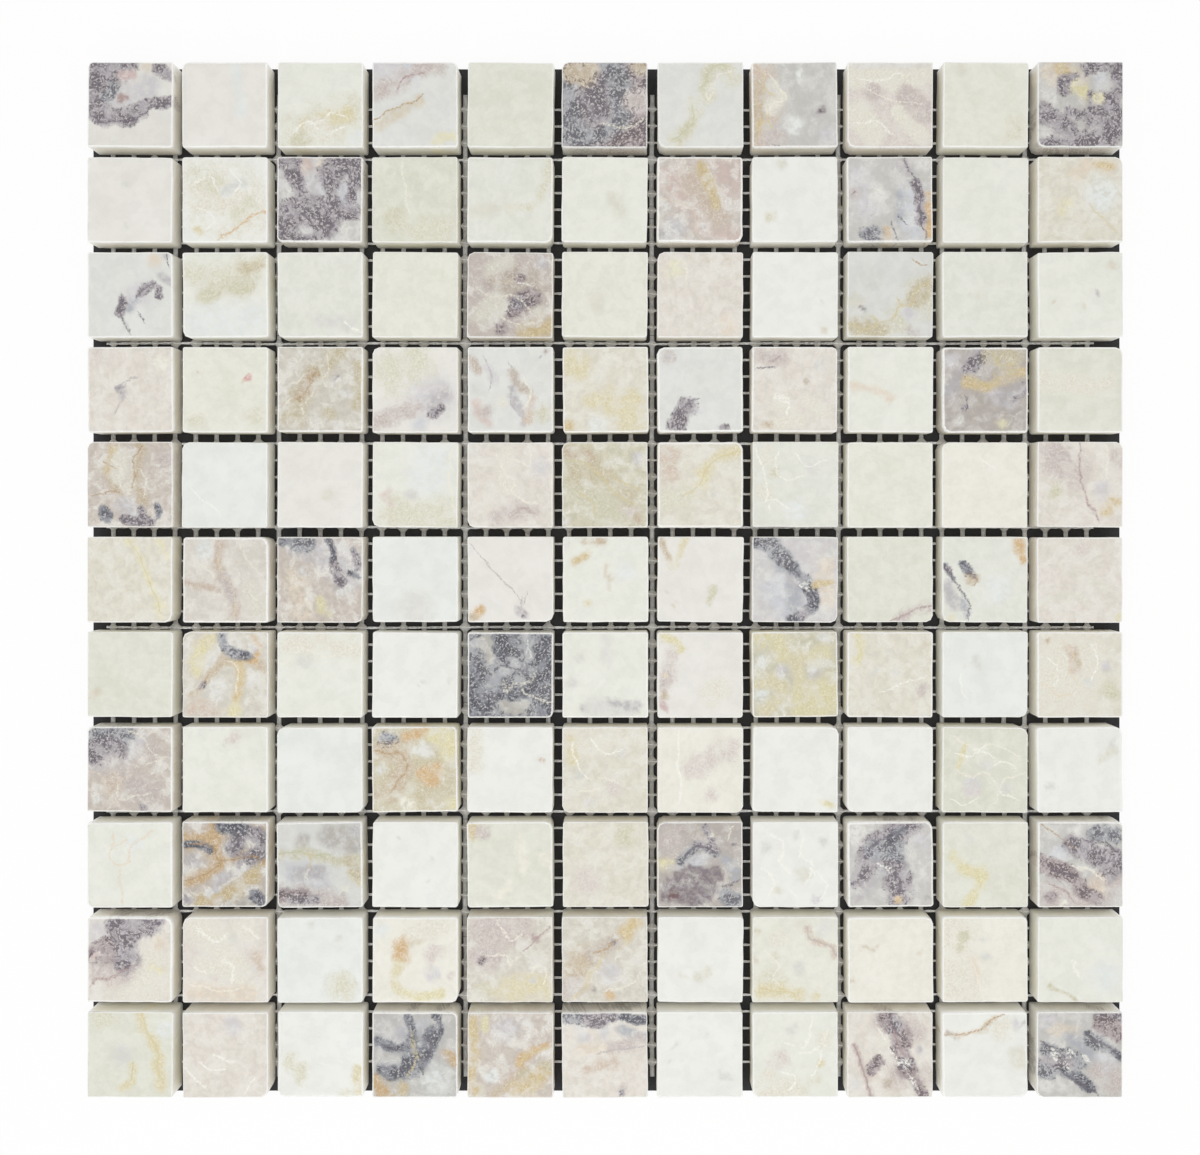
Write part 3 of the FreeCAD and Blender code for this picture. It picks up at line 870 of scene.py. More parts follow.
            "slate 7 80,85 95,90; blue 8 30,52 55,42; steel 7 80,45 95,60; maroon 9 12,86 25,66 45,60 "
            "68,62; maroon 16 30,82 54,80; oxblood 8 18,86; slate 4 28,45 40,32 45,28 60,30 68,35; "
            "violet 3 45,25 68,30; violet 3 55,5 65,20; blot 2.5 92,25; ivory 3 65,15; ink 1.6 28,45 "
            "40,32 45,28 60,30 68,35; ink 1.5 75,75 95,68; pearlLine 1.2 88,5 85,20",
    (9, 8): "white; fog 8 15,30; fawnPale 8 60,62; fog 7 85,20; fawnPale 6 30,80; fog 6 50,15; lilac "
            "6 75,90; chalk 1.6 25,15 38,30 30,45 45,60; chalk 1.5 60,20 55,38 70,50 62,70; chalk 1.4 "
            "10,55 24,66 20,85; chalk 1.3 75,60 88,72 80,90; chalk 1.2 42,75 52,88",
    (9, 9): "ash; steel 16 50,25 60,70; milk 14 10,8 20,18; violet 11 70,5 50,20 30,36 46,48 58,62 60,80; "
            "violet 7 24,45 14,70; slate 6 30,32 60,34; graphite 3 66,6 52,18; smoke 5 15,50 8,65; smoke "
            "8 15,85 30,70; lilac 12 85,20; milk 8 88,60; violet 6 55,70 60,85 66,80; steel 5 40,60; "
            "orange 2.5 60,90; blot 2 95,90; ink 2 72,3 25,30; ink 1.4 50,45 60,62 62,82; chalk 1.2 36,48 "
            "48,56",
    (9, 10): "green; yellow 6 15,40 25,55 45,60 40,80 30,95; fog 7 30,20",
    (9, 11): "ash; blue 12 25,38; milk 9 45,8; smoke 9 60,20; smoke 8 30,60; mauve 14 15,85 50,88 "
             "85,75; peach 10 75,80; milk 8 88,10; ivory 5 30,95; violet 9 42,26 62,36 95,48; slate 7 "
             "70,10 90,15; violet 6 80,62; plum 7 3,48 25,55 45,66; plum 5 50,80 70,88; plum 4 15,88; "
             "tanPink 6 70,70; ink 1.5 55,20 75,24 92,36; ink 1.3 12,50 30,60 48,64; ink 1.3 90,10 "
             "95,15; wine 1.3 10,70 30,80 42,95; pearlLine 1.3 40,50 60,55 75,66; umber 1.1 5,3 20,15 "
             "40,28",
    (10, 1): "blush; lilac 16 12,18; pearl 30 65,70; lemon 7 78,58 88,62; peach 10 85,30; mauve 15 20,58 "
             "35,52; plum 8 10,42 22,35 35,38; violet 11 38,5 55,10 75,4; violet 8 42,22 48,38 46,52; pink "
             "4 5,48 15,42; wine 1.6 3,80 12,73 25,72 40,63 55,58",
    (10, 2): "blush; mauvePale 30 50,50; fog 6 58,25; fog 6 85,60; pearl 12 20,12 40,25; pearl 10 "
             "75,15; pearl 10 55,55 70,80; pearl 8 25,60; peach 12 10,85 40,88 80,90; ivory 6 48,48; "
             "tanPink 4 88,45 92,58; chalk 2 18,15 38,28 52,22; chalk 1.8 50,50 62,62 58,75; chalk 1.4 "
             "75,12 88,22; chalk 1.4 15,60 30,66; pearlLine 1.2 10,80 40,86 70,84; blot 1.5 90,53",
    (10, 3): "cool; fog 5 40,8; fog 4 70,25; buff 14 75,82",
    (10, 4): "shell; cool 12 10,15; pearl 10 45,15 80,12; mauvePale 10 72,42; fawn 4 44,32 60,28; orange 7 "
             "32,34 34,50; straw 5 30,60 27,78 30,86; yellow 5 42,92 60,93 80,90; lilac 11 70,66; "
             "mauvePale 4 92,68",
    (10, 5): "oat; olive 10 20,85; mauve 20 25,15 50,10; mauve 14 15,45 30,45; roseBrown 4 76,22 82,26; "
             "straw 12 50,85 75,80 95,85; milk 6 78,75; plum 3 18,52; wine 1.2 95,10 82,25 65,40; "
             "pearlLine 1.5 38,5 48,25 60,20; pearlLine 1.5 25,45 45,45 50,55 60,48; pearlLine 1.5 76,62 "
             "85,58 92,64 88,78",
    (10, 6): "oat; tan 14 25,50 15,70 5,80; mauve 8 10,85; lilac 14 55,65; gold 7 85,5 75,18 68,28; "
             "taupe 7 58,30 45,40 38,42; orange 4 55,92; blot 2.5 38,85; violet 2 60,28; "
             "umber 2 62,26 50,36 38,42; goldLine 1.6 50,45 35,65 25,80 15,95; "
             "pearlLine 1.2 50,88 75,82 85,75",
    (10, 7): "white; fawnPale 4 30,68; fawnPale 6 45,72 60,62",
    (10, 8): "cream; milk 12 85,12; fawnPale 8 55,5; buff 12 12,75 30,80; straw 6 5,88 30,88 55,90; "
             "straw 5 75,95; olive 4 27,45; olive 4 5,15; tanPink 4 64,15 72,26 88,32 98,45; fog 9 "
             "55,60; fawn 5 3,50; fawn 2 75,86; pearl 8 30,25; greyLine 1.1 62,13 70,25 85,31 100,46; "
             "pearlLine 1.3 15,40 30,55 24,70 35,82; goldLine 1 10,84 30,88 50,92",
    (10, 9): "shell; fawn 2.5 15,35 35,35; fawn 2.5 85,40; fawn 3 5,72",
    (10, 10): "shell; pearl 22 12,15 20,50 15,80; olive 4 25,22; fog 4 46,27; olive 3 20,37; fog 6 50,47; "
              "peach 5 36,50 40,72; pearlLine 1.3 35,55 42,75 48,95",
    (10, 11): "pale; cool 20 80,70; olive 2.5 15,80 30,90 45,98; chalk 2 42,55 52,70",
    (11, 1): "green; fog 14 40,50; buff 12 20,5; cool 12 92,20; straw 6 62,2 68,20 78,35 85,50 82,65 "
             "88,85; straw 5 55,65 52,80 40,88; goldLine 1.4 65,5 75,28 84,48 80,60 86,78; moss 1 "
             "55,60 50,78",
    (11, 2): "blush; lilac 12 60,15; chalk 1.4 38,50 60,58; chalk 1.4 22,60 32,68 48,66; "
             "chalk 1.4 0,65 15,78 28,88; chalk 1.2 85,80 75,92",
    (11, 3): "white; buff 7 15,58 25,65 28,78; straw 6 92,92 95,68; buff 6 80,95",
    (11, 4): "ash 84; lilac 14 15,25 50,20; steel 14 46,25 46,52; steel 13 68,30 58,55; steel 12 15,66 "
             "35,70; blue 8 60,12; steel 6 5,35 20,42 35,45; cool 20 75,80; milk 10 20,20; tan 4 52,35 "
             "50,55 45,70; orange 9 5,82 15,95; tan 6 20,75; gold 5 38,78 36,95; orange 6 90,48 97,58; "
             "graphite 5 12,66 28,72; graphite 3.5 40,5 45,20 48,34; graphite 6 45,35 46,52; slate 9 50,50 "
             "45,66; graphite 3.5 5,33 20,40 36,42; graphite 6 72,25 66,42 56,56; graphite 3 73,3 80,15 "
             "72,28; graphite 4 40,58 34,72; ink 1.6 66,30 68,44 60,56; ink 1.6 44,38 50,48; ink 1.4 5,33 "
             "20,42 36,44; ink 1.3 80,5 78,20; goldLine 1.2 45,22 52,40 50,60 42,75",
    (11, 5): "rosy 94; lilac 18 45,20; cool 10 30,75; milk 8 70,12; peach 20 70,85; buff 8 10,92; gold 5 "
             "5,10 8,30 7,50 5,70 5,90; yellow 4 20,8 22,20; rose 8 30,97 50,80 65,65; tan 6 32,97 "
             "52,80 68,65; orange 4 60,58 75,46 95,40; khaki 8 75,75 95,65; gold 6 85,75 75,88 55,94; "
             "goldLine 1.4 58,60 74,48 96,42; goldLine 1.3 80,95 84,78 97,70; goldLine 1.2 8,5 6,30 "
             "10,50",
    (11, 6): "blush; lilac 10 20,12; smoke 8 50,12; slate 5 5,8 20,5; violet 5 30,8 45,9 60,5; "
             "graphite 3.5 70,6 85,9 97,8; steel 7 70,22 95,28; blue 7 50,25; mauve 7 55,42 75,38 "
             "92,32; lilac 8 25,30; peach 6 20,45 50,42; mauve 6 70,92; tanPink 6 30,65 60,60; violet "
             "2.5 68,95; ink 1.1 5,12 25,14 48,12; greyLine 1.1 40,48 66,44 94,40",
    (11, 7): "white; fog 3 38,5; fog 2.5 60,28; fog 3.5 22,38; fog 3 15,55; fog 5 72,75 85,74",
    (11, 8): "pale; straw 6 20,75; mauvePale 10 30,55; pearl 12 15,92 50,90; pearl 8 85,35; buff 8 "
             "70,80; fog 6 45,20; straw 4 80,60; chalk 1.5 70,5 68,25 60,40; chalk 1.4 40,35 48,40; "
             "chalk 1.4 55,48 70,45 85,40; chalk 1.5 80,50 76,65 70,75; chalk 1.3 35,70 50,78 45,92; "
             "pearlLine 1.3 88,20 84,34",
    (11, 9): "blush; mauve 12 45,10 75,20; mauve 14 60,70 80,75; rose 10 25,70; plum 8 50,5 56,20 "
             "62,38; violet 6 54,14; plum 6 66,50 72,68; violet 4 70,60; plum 5 28,65 38,58; plum 5 "
             "80,85 88,95; roseBrown 3.5 8,40 14,58 22,80 28,98; milk 10 8,85; smoke 6 85,45; taupe 5 "
             "45,85; wine 1.3 8,40 14,58 22,80 28,98; wine 1.4 46,8 56,26 62,42 74,60; wine 1.3 68,68 "
             "80,82; pearl 5 40,35; chalk 2.2 50,42 56,50; chalk 2.6 60,58 70,62; chalk 1.4 72,78 "
             "82,90; chalk 1.2 35,20 42,30",
    (11, 10): "white; lilac 7 85,12; smoke 3 97,12; taupe 4 8,27 15,27; pearl 10 70,20; fawnPale 12 88,50 "
              "90,60; peach 4 40,22 20,25; fawn 4 45,20 62,6; umber 1.3 3,28 20,25 40,22 55,10 70,2",
    (11, 11): "ash 94; peach 8 20,20 42,22; lilac 12 10,8; steel 9 40,30 70,55; blue 10 75,55 85,65; mauve "
              "12 75,72 95,78; violet 6 75,5 95,8; graphite 4 10,40 22,50 36,54 50,60; slate 8 15,48 "
              "45,58; violet 7 8,64 30,62; plum 8 78,18 94,24; graphite 3.5 58,25 70,35 85,44 98,54; "
              "slate 5 62,32 80,42; slate 5 5,70 15,74; graphite 3.5 30,70 48,78 62,90; milk 9 10,88 "
              "25,86; milk 6 30,40; mauve 8 85,90; ink 1.6 58,25 70,35 85,44 98,54; ink 1.4 5,35 22,46 "
              "36,54; ink 1.5 30,72 45,80 60,90 70,98; chalk 1.6 17,48 20,55; chalk 2 38,47 42,49; "
              "chalk 1.4 55,50 60,56; chalk 1.3 30,60 36,66",
}


# One row of stones: shaped blanks, placed with small errors, then painted

stoneCut = {
    "blanks": {0.78: 6, 1.05: 4, 1.7: 6},    # mm between painted points: how many shapes
    "arris": (0.55, 0.85),      # mm, rounding of the face's edges
    "backArris": 0.3,
    "fuller": 0.15,             # mm, how far the sides stand out into the joints
    "corner": (0.4, 0.95),      # mm, rounding of the upright corners
    "chippedCorner": (1.5, 2.4),
    "chipChance": 0.1,
    "segments": {"corner": 4, "chippedCorner": 2, "arris": 3, "backArris": 1},
    "sideCuts": (-0.15, 0.28),  # where painted points run round the sides, in shares of the depth
    "hollow": 0.09,             # mm, how far the sides wander
    "hollowWaves": (4, 6, 20),  # how many waves of it, and their shortest and longest, in mm
    "hollowFrom": 1.2,          # mm inside the sides, where the points begin to follow it
    "shift": 0.16,              # mm, how far a stone is off its place
    "turn": 0.35,               # degrees
    "uneven": 0.07,             # mm, differences in height
    "blankSeed": 7,
    "rowSeed": 100,
}

columns = 11
rows = 11
rowLow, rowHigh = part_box("tile_row_01")
stoneSide = rowHigh.y - rowLow.y
stoneBottom = rowLow.z
stoneDepth = rowHigh.z - rowLow.z
stonePitch = (rowHigh.x - rowLow.x - stoneSide) / (columns - 1)
fuller = stoneCut["fuller"] * millimetre
facesDown = -0.9     # only the back's normal is below this
tiny = 1e-7          # metres


def bevelEdges(bm, edges, radius, kind):
    bmesh.ops.bevel(bm, geom=edges, offset=radius * millimetre, offset_type="OFFSET",
                    segments=stoneCut["segments"][kind], profile=0.5, affect="EDGES", material=-1,
                    clamp_overlap=True)


def edgesWhere(bm, test):
    return [edge for edge in bm.edges if all(test(vertex.co) for vertex in edge.verts)]


def cutAcross(bm, axis, height):
    # through all but the back, which stays one face. Edges and points are each taken once, in order.
    normal = Vector((0, 0, 0))
    normal[axis] = 1
    faces = [face for face in bm.faces if face.normal.z > facesDown]
    edges = dict.fromkeys(edge for face in faces for edge in face.edges)
    vertices = dict.fromkeys(vertex for face in faces for vertex in face.verts)
    bmesh.ops.bisect_plane(bm, geom=[*vertices, *edges, *faces], dist=tiny,
                           plane_co=normal * height, plane_no=normal)


def shapeBlank(chance, name, paintStep):
    # a stone centred on its own middle, in metres
    bm = bmesh.new()
    bmesh.ops.create_cube(bm, size=1)
    half = stoneSide / 2 + fuller
    bmesh.ops.scale(bm, vec=(2 * half, 2 * half, stoneDepth), verts=bm.verts)
    for signX in (-1, 1):
        for signY in (-1, 1):
            kind = "chippedCorner" if chance.random() < stoneCut["chipChance"] else "corner"
            corner = edgesWhere(bm, lambda co: co.x * signX > 0 and co.y * signY > 0)
            bevelEdges(bm, corner, chance.uniform(*stoneCut[kind]), kind)
    arris = chance.uniform(*stoneCut["arris"])
    bevelEdges(bm, edgesWhere(bm, lambda co: co.z > 0), arris, "arris")
    bevelEdges(bm, edgesWhere(bm, lambda co: co.z < 0), stoneCut["backArris"], "backArris")
    bmesh.ops.recalc_face_normals(bm, faces=bm.faces)
    steps = round(stoneSide / millimetre / paintStep)
    inner = half - arris * millimetre
    for number in range(steps + 1):
        place = inner * (2 * number / steps - 1)
        cutAcross(bm, 0, place)
        cutAcross(bm, 1, place)
    for share in stoneCut["sideCuts"]:
        cutAcross(bm, 2, stoneDepth * share)
    wander(bm, chance)
    return meshFrom(bm, name)


def waves(chance, count, shortest, longest):
    # the directions and phases of a few waves, whose sum is a smooth random pattern
    made = []
    for _ in range(count):
        length = chance.uniform(shortest, longest)
        heading = chance.uniform(0, 2 * math.pi)
        made.append((math.cos(heading) * 2 * math.pi / length, math.sin(heading) * 2 * math.pi / length,
                     chance.uniform(0, 2 * math.pi)))
    return made


def sumOfWaves(made, x, y):
    return sum(np.sin(x * wx + y * wy + phase) for wx, wy, phase in made) / math.sqrt(len(made))


def wander(bm, chance):
    # sawn and tumbled sides aren't quite straight
    across = waves(chance, *stoneCut["hollowWaves"])
    along = waves(chance, *stoneCut["hollowWaves"])
    amount = stoneCut["hollow"] * millimetre
    flatBelow = stoneSide / 2 - stoneCut["hollowFrom"] * millimetre
    for vertex in bm.verts:
        x, y, z = vertex.co / millimetre
        if abs(vertex.co.x) > flatBelow:
            vertex.co.x -= math.copysign(amount, x) * (0.5 + 0.5 * float(sumOfWaves(across, y, z)))
        if abs(vertex.co.y) > flatBelow:
            vertex.co.y -= math.copysign(amount, y) * (0.5 + 0.5 * float(sumOfWaves(along, x, z)))


def stoneCentre(row, column):
    x = rowLow.x + stoneSide / 2 + column * stonePitch
    y = rowHigh.y - stoneSide / 2 - row * stonePitch
    return Vector((x, y, stoneBottom + stoneDepth / 2))


def readStone(row, column):
    # a stone's tone and shade, and its strokes as (kind, half width, places), in shares of its side
    tone, *strokes = stones[row + 1, column + 1].split("; ")
    name, shade = [*tone.split(), 100][:2]
    read = []
    for stroke in strokes:
        kind, width, *places = stroke.split()
        points = [np.array([float(number) / 100 for number in place.split(",")]) for place in places]
        read.append((kind, float(width) / 100, points))
    return name, float(shade) / 100, read


def paintStep(row, column):
    # how close together a stone's painted points have to be
    fine, plain, coarse = sorted(stoneCut["blanks"])
    styles = {stains[kind][1] for kind, _, _ in readStone(row, column)[2]}
    if styles & {"broken", "thread", "solid"}:
        return fine
    return plain if styles else coarse


stonePaint = {
    "slant": 0.5,               # how far the figure leans, as a share of the depth
    "swirl": (6, 4, 14),        # waves that bend the strokes, and their shortest and longest, in mm
    "swirlShift": 0.014,        # in shares of the side
    "shake": (6, 2.2, 5),       # and those that roughen the soft and solid ones
    "shakeShift": 0.016,
    "cloud": (7, 9, 30),        # and those of a stone's tone
    "cloudShade": 0.012,
    "cloudTint": (1.0, 0.95, 1.4),
    "grainSwirl": 0.35,         # mm, how far the swirl moves the marble's own patterns
    "grainTilt": (10, 30),      # degrees
    "grainAway": 400,           # mm, how far apart in its patterns the stones may be
    "threadHalf": 0.3,          # a thread's half width, as the marble's pattern counts it
    "coverEnd": 2,              # half widths, where veined and broken strokes have faded out
    # where each mark ends and how softly, in half widths of its stroke, and in mm for threads
    "soft": (1.35, 1.0),
    "solid": (1.15, 0.25),
    "tinted": (2.4, 1.0),
    "cleared": (1.5, 1.0),      # broken stone under a veined stroke
    "threadTinted": (2.0, 0.8),
    "threaded": (0.9, 0.6),     # from the thread's own edge
    # mm below the face: where the pale edge, partly wear and partly a painted highlight, is whole, where it
    # ends and how softly
    "wearAndHighlight": (0.08, 1.4, 0.8),
    "side": (0.5, 0.5),         # mm below the face, where the sawn side begins and how softly
    "back": (-0.35, 0.3),       # the same below the back
}
farAway = 9.0    # more than any distance on a stone


def smoothLine(places):
    # a stroke's places joined by a smooth curve, in quarters
    if len(places) < 3:
        return places
    padded = [2 * places[0] - places[1], *places, 2 * places[-1] - places[-2]]
    line = []
    for a, b, c, d in zip(padded, padded[1:], padded[2:], padded[3:]):
        for t in (0, 0.25, 0.5, 0.75):
            line.append(0.5 * (2 * b + (c - a) * t + (2 * a - 5 * b + 4 * c - d) * t ** 2
                               + (3 * b - a - 3 * c + d) * t ** 3))
    return [*line, places[-1]]


def distanceTo(line, place):
    # from each place to the line: how far, and how far to one side, positive on its left
    if len(line) == 1:
        far = np.hypot(*(place - line[0]).T)
        return far, far
    far = np.full(len(place), farAway)
    aside = np.full(len(place), farAway)
    for start, end in zip(line, line[1:]):
        step = end - start
        away = place - start
        square = max(step @ step, 1e-9)    # more than nothing, where two places are the same
        share = np.clip(away @ step / square, 0, 1)
        gap = np.hypot(*(away - share[:, None] * step).T)
        nearer = gap < far
        far = np.where(nearer, gap, far)
        aside = np.where(nearer, np.copysign(gap, step[0] * away[:, 1] - step[1] * away[:, 0]), aside)
    return far, aside


def smoothStep(values):
    values = np.clip(values, 0, 1)
    return values * values * (3 - 2 * values)


def faded(values, end, softness):
    # 1 before the end and 0 after it
    return smoothStep((end - values) / softness)


def begun(values, start, softness):
    # 0 before the start, rising to 1
    return np.clip((values - start) / softness, 0, 1)


def blended(colours, colour, share):
    return colours + (np.array(colour) - colours) * share[:, None]


def drawStrokes(strokes, place, ragged, tone):
    # the masks and colours that the strokes leave. A later stroke covers the earlier ones. Ragged is
    # the place again, shaken more, for stains with an uneven edge.
    side = stoneSide / millimetre
    half = stonePaint["threadHalf"]
    drawn = {name: tone for name in ("base", "tone", "tint", "threadTint")}
    drawn.update({name: np.zeros(len(place)) for name in ("cover", "breccia", "threaded")})
    drawn["thread"] = np.full(len(place), farAway)
    for kind, width, points in strokes:
        colour, style = stains[kind]
        far, aside = distanceTo(smoothLine(points), ragged if style in ("soft", "solid") else place)
        reach = far / width
        if style == "thread":
            nearer = far * side < np.abs(drawn["thread"]) * width * side / half
            drawn["thread"] = np.where(nearer, aside / width * half, drawn["thread"])
            tinted = faded(far * side, *stonePaint["threadTinted"])
            drawn["threadTint"] = blended(drawn["threadTint"], colour, tinted)
            near = faded((far - width) * side, *stonePaint["threaded"])
            drawn["threaded"] = np.maximum(drawn["threaded"], near)
        elif style in ("soft", "solid"):
            share = faded(reach, *stonePaint[style])
            drawn["tone"] = blended(drawn["tone"], colour, share)
            drawn["cover"] = drawn["cover"] * (1 - share)
            drawn["breccia"] = drawn["breccia"] * (1 - share)
        else:
            mask = np.clip(1 - reach / stonePaint["coverEnd"], 0, 1)
            drawn["tint"] = blended(drawn["tint"], colour, faded(reach, *stonePaint["tinted"]))
            drawn["cover"] = np.maximum(drawn["cover"], mask)
            if style == "broken":
                drawn["breccia"] = np.maximum(drawn["breccia"], mask)
            else:
                drawn["breccia"] = drawn["breccia"] * (1 - faded(reach, *stonePaint["cleared"]))
    return drawn


def ripples(chance, sizes, flat):
    # a smooth random shift at each place, across and down
    return np.stack([sumOfWaves(waves(chance, *sizes), *flat.T) for _ in range(2)], 1)


def paintStone(row, column, co, chance):
    # what the marble's pattern reads at each point of one stone
    local = (co - np.array(stoneCentre(row, column))) / millimetre
    halfDepth = stoneDepth / 2 / millimetre
    depth = halfDepth - local[:, 2]
    slant = stonePaint["slant"]
    leaning = np.array([chance.uniform(-slant, slant), chance.uniform(-slant, slant)])
    flat = local[:, :2] + depth[:, None] * leaning
    swirl = ripples(chance, stonePaint["swirl"], flat)
    place = flat * (1, -1) / (stoneSide / millimetre) + 0.5 + stonePaint["swirlShift"] * swirl
    ragged = place + stonePaint["shakeShift"] * ripples(chance, stonePaint["shake"], flat)

    name, shade, strokes = readStone(row, column)
    cloud = sumOfWaves(waves(chance, *stonePaint["cloud"]), *flat.T)
    colour, lively = tones[name]
    clouded = stonePaint["cloudShade"] * cloud[:, None] * np.array(stonePaint["cloudTint"])
    drawn = drawStrokes(strokes, place, ragged, np.array(colour) * (1 + clouded))
    solid = np.ones((len(co), 1))
    for colours in ("base", "tone", "tint", "threadTint"):
        drawn[colours] = np.concatenate([drawn[colours] * shade, solid], 1)

    turn = Matrix.Rotation(chance.uniform(0, 2 * math.pi), 3, "Z")
    tilt = Matrix.Rotation(math.radians(chance.uniform(*stonePaint["grainTilt"])), 3, "X")
    most = stonePaint["grainAway"]
    away = np.array([chance.uniform(-most, most), chance.uniform(-most, most), 0])
    grain = local.copy()
    grain[:, :2] += stonePaint["grainSwirl"] * swirl
    below = depth - depth.min()
    whole, end, softness = stonePaint["wearAndHighlight"]
    drawn.update({
        "lively": np.full(len(co), lively),
        "grain": grain @ np.array(tilt @ turn).T + away,
        # the rounded top edge, painted pale: partly wear, partly a painted highlight
        "wearAndHighlight": smoothStep(below / whole) * faded(below, end, softness),
        "side": begun(depth, *stonePaint["side"]),
        "back": begun(depth - 2 * halfDepth, *stonePaint["back"]),
    })
    return drawn


attributeKinds = {
    "grain": ("FLOAT_VECTOR", "vector"),
    "base": ("FLOAT_COLOR", "color"),
    "tone": ("FLOAT_COLOR", "color"),
    "tint": ("FLOAT_COLOR", "color"),
    "threadTint": ("FLOAT_COLOR", "color"),
}


def storeAttributes(mesh, painted):
    for name, values in painted.items():
        kind, field = attributeKinds.get(name, ("FLOAT", "value"))
        attribute = mesh.attributes.new(name, kind, "POINT")
        attribute.data.foreach_set(field, np.ascontiguousarray(values, np.float32).ravel())


def readPlaces(mesh):
    co = np.empty(len(mesh.vertices) * 3, np.float32)
    mesh.vertices.foreach_get("co", co)
    return co.reshape(-1, 3).astype(float)


def stoneLimits(node):
    # a row may fill a little more of the joints than its solids do, but stays inside the sheet
    nodeLow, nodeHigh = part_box(node)
    spare = Vector((fuller, fuller, 0))
    return np.maximum(nodeLow - spare, low), np.minimum(nodeHigh + spare, high)


def writePlaces(mesh, co, box):
    # the box is the limit
    co = np.clip(co, *(np.array(corner) for corner in box))
    mesh.vertices.foreach_set("co", co.astype(np.float32).ravel())
    mesh.update()
    return co


def finishPiece(name, mesh, material, node):
    piece = addObject(name, mesh, material)
    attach(piece, "root")
    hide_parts(node)
    return piece


def placeStone(bm, blank, row, column, chance):
    # sets a stone in its row with small errors, and says which of the row's points are its own
    first = len(bm.verts)
    bm.from_mesh(blank)
    bm.verts.ensure_lookup_table()
    fresh = bm.verts[first:]
    quarter = Matrix.Rotation(math.radians(90 * chance.randrange(4)), 3, "Z")
    skew = Matrix.Rotation(math.radians(chance.gauss(0, stoneCut["turn"])), 3, "Z")
    bmesh.ops.rotate(bm, cent=(0, 0, 0), matrix=quarter @ skew, verts=fresh)
    shift = Vector((chance.uniform(-1, 1), chance.uniform(-1, 1), 0)) * stoneCut["shift"] * millimetre
    lower = chance.uniform(0, stoneCut["uneven"]) / (stoneDepth / millimetre)
    bmesh.ops.scale(bm, vec=(1, 1, 1 - lower), verts=fresh)
    shift.z = -lower * stoneDepth / 2
    bmesh.ops.translate(bm, vec=stoneCentre(row, column) + shift, verts=fresh)
    return first, len(bm.verts)


def makeRow(row, blanks):
    chance = random.Random(stoneCut["rowSeed"] + row)
    name = f"stoneRow{row + 1:02d}"
    node = f"tile_row_{row + 1:02d}"
    bm = bmesh.new()
    ranges = []
    for column in range(columns):
        blank = chance.choice(blanks[paintStep(row, column)])
        ranges.append(placeStone(bm, blank, row, column, chance))
    mesh = meshFrom(bm, name)
    co = writePlaces(mesh, readPlaces(mesh), stoneLimits(node))
    painted = [paintStone(row, column, co[start:end], chance) for column, (start, end) in enumerate(ranges)]
    storeAttributes(mesh, {key: np.concatenate([stone[key] for stone in painted]) for key in painted[0]})
    mesh.shade_smooth()
    return finishPiece(name, mesh, marble, node)


def countTriangles(mesh):
    return sum(len(face.vertices) - 2 for face in mesh.polygons)


def makeStones():
    chance = random.Random(stoneCut["blankSeed"])
    blanks = {}
    for step, count in stoneCut["blanks"].items():
        blanks[step] = [shapeBlank(chance, f"blank{number}", step) for number in range(count)]
    triangles = sum(countTriangles(makeRow(row, blanks).data) for row in range(rows))
    for shapes in blanks.values():
        for blank in shapes:
            bpy.data.meshes.remove(blank)
    return triangles


print("stones made,", makeStones(), "triangles")


# The net: flat rovings up the sheet and twisted pairs of yarns across it, glued where they cross

netLook = {
    "roving": srgb(206, 206, 206),
    "yarn": srgb(248, 248, 250),
    "rovingFibres": (9000.0, 500.0, 0),      # to the metre, across the sheet and up it
    "yarnFibres": (1000.0, 4500.0, 0),
    "fibreNoise": (1.0, 1.0, 0.55),          # scale, detail and roughness
    "fibreShade": (0.35, 0.6, 0.7, 1.08),    # in the noise from, to, and how dark to how bright
    "roughness": (0.6, 0.35),                # bare, and under glue
    "bumpStrength": (0.8, 0.2),
    "bump": 0.00005,                         # metres
    "refraction": 1.5,
    # how far each bit looks like the yarns, and how much glue is on it
    "rovingLength": (0.0, 0.18),
    "rovingTail": (0.0, 0.1),
    "yarnPair": (1.0, 0.12),
    "yarnTail": (1.0, 0.12),
    "glueAtCrossing": (0.5, 0.75),
}


def netMaterial():
    material, tree, shader = newMaterial("glassFibreNet")
    place = objectPlace(tree)
    across = readAttribute(tree, "across")
    spun = []
    for fibres in ("rovingFibres", "yarnFibres"):
        stretched = vectorMaths(tree, "MULTIPLY", place, netLook[fibres])
        spun.append(noisy(tree, stretched, *netLook["fibreNoise"])["Fac"])
    fibres = mixed(tree, across, *spun)
    colour = mixed(tree, across, netLook["roving"], netLook["yarn"])
    colour = mixed(tree, 1.0, colour, ramped(tree, fibres, *netLook["fibreShade"]), "MULTIPLY")
    values = {"Colour": colour, "Place": place, "Amount": readAttribute(tree, "glue")}
    glued = useGroup(tree, driedGlue, values)
    bumpy = ramped(tree, glued["Film"], 0.0, 1.0, *netLook["bumpStrength"])
    bump = put(tree, "ShaderNodeBump", {"Height": fibres, "Distance": netLook["bump"], "Strength": bumpy})
    plug(tree, shader, {
        "Base Color": glued["Colour"],
        "Roughness": ramped(tree, glued["Film"], 0.0, 1.0, *netLook["roughness"]),
        "IOR": netLook["refraction"],
        "Normal": bump.outputs["Normal"],
    })
    return material


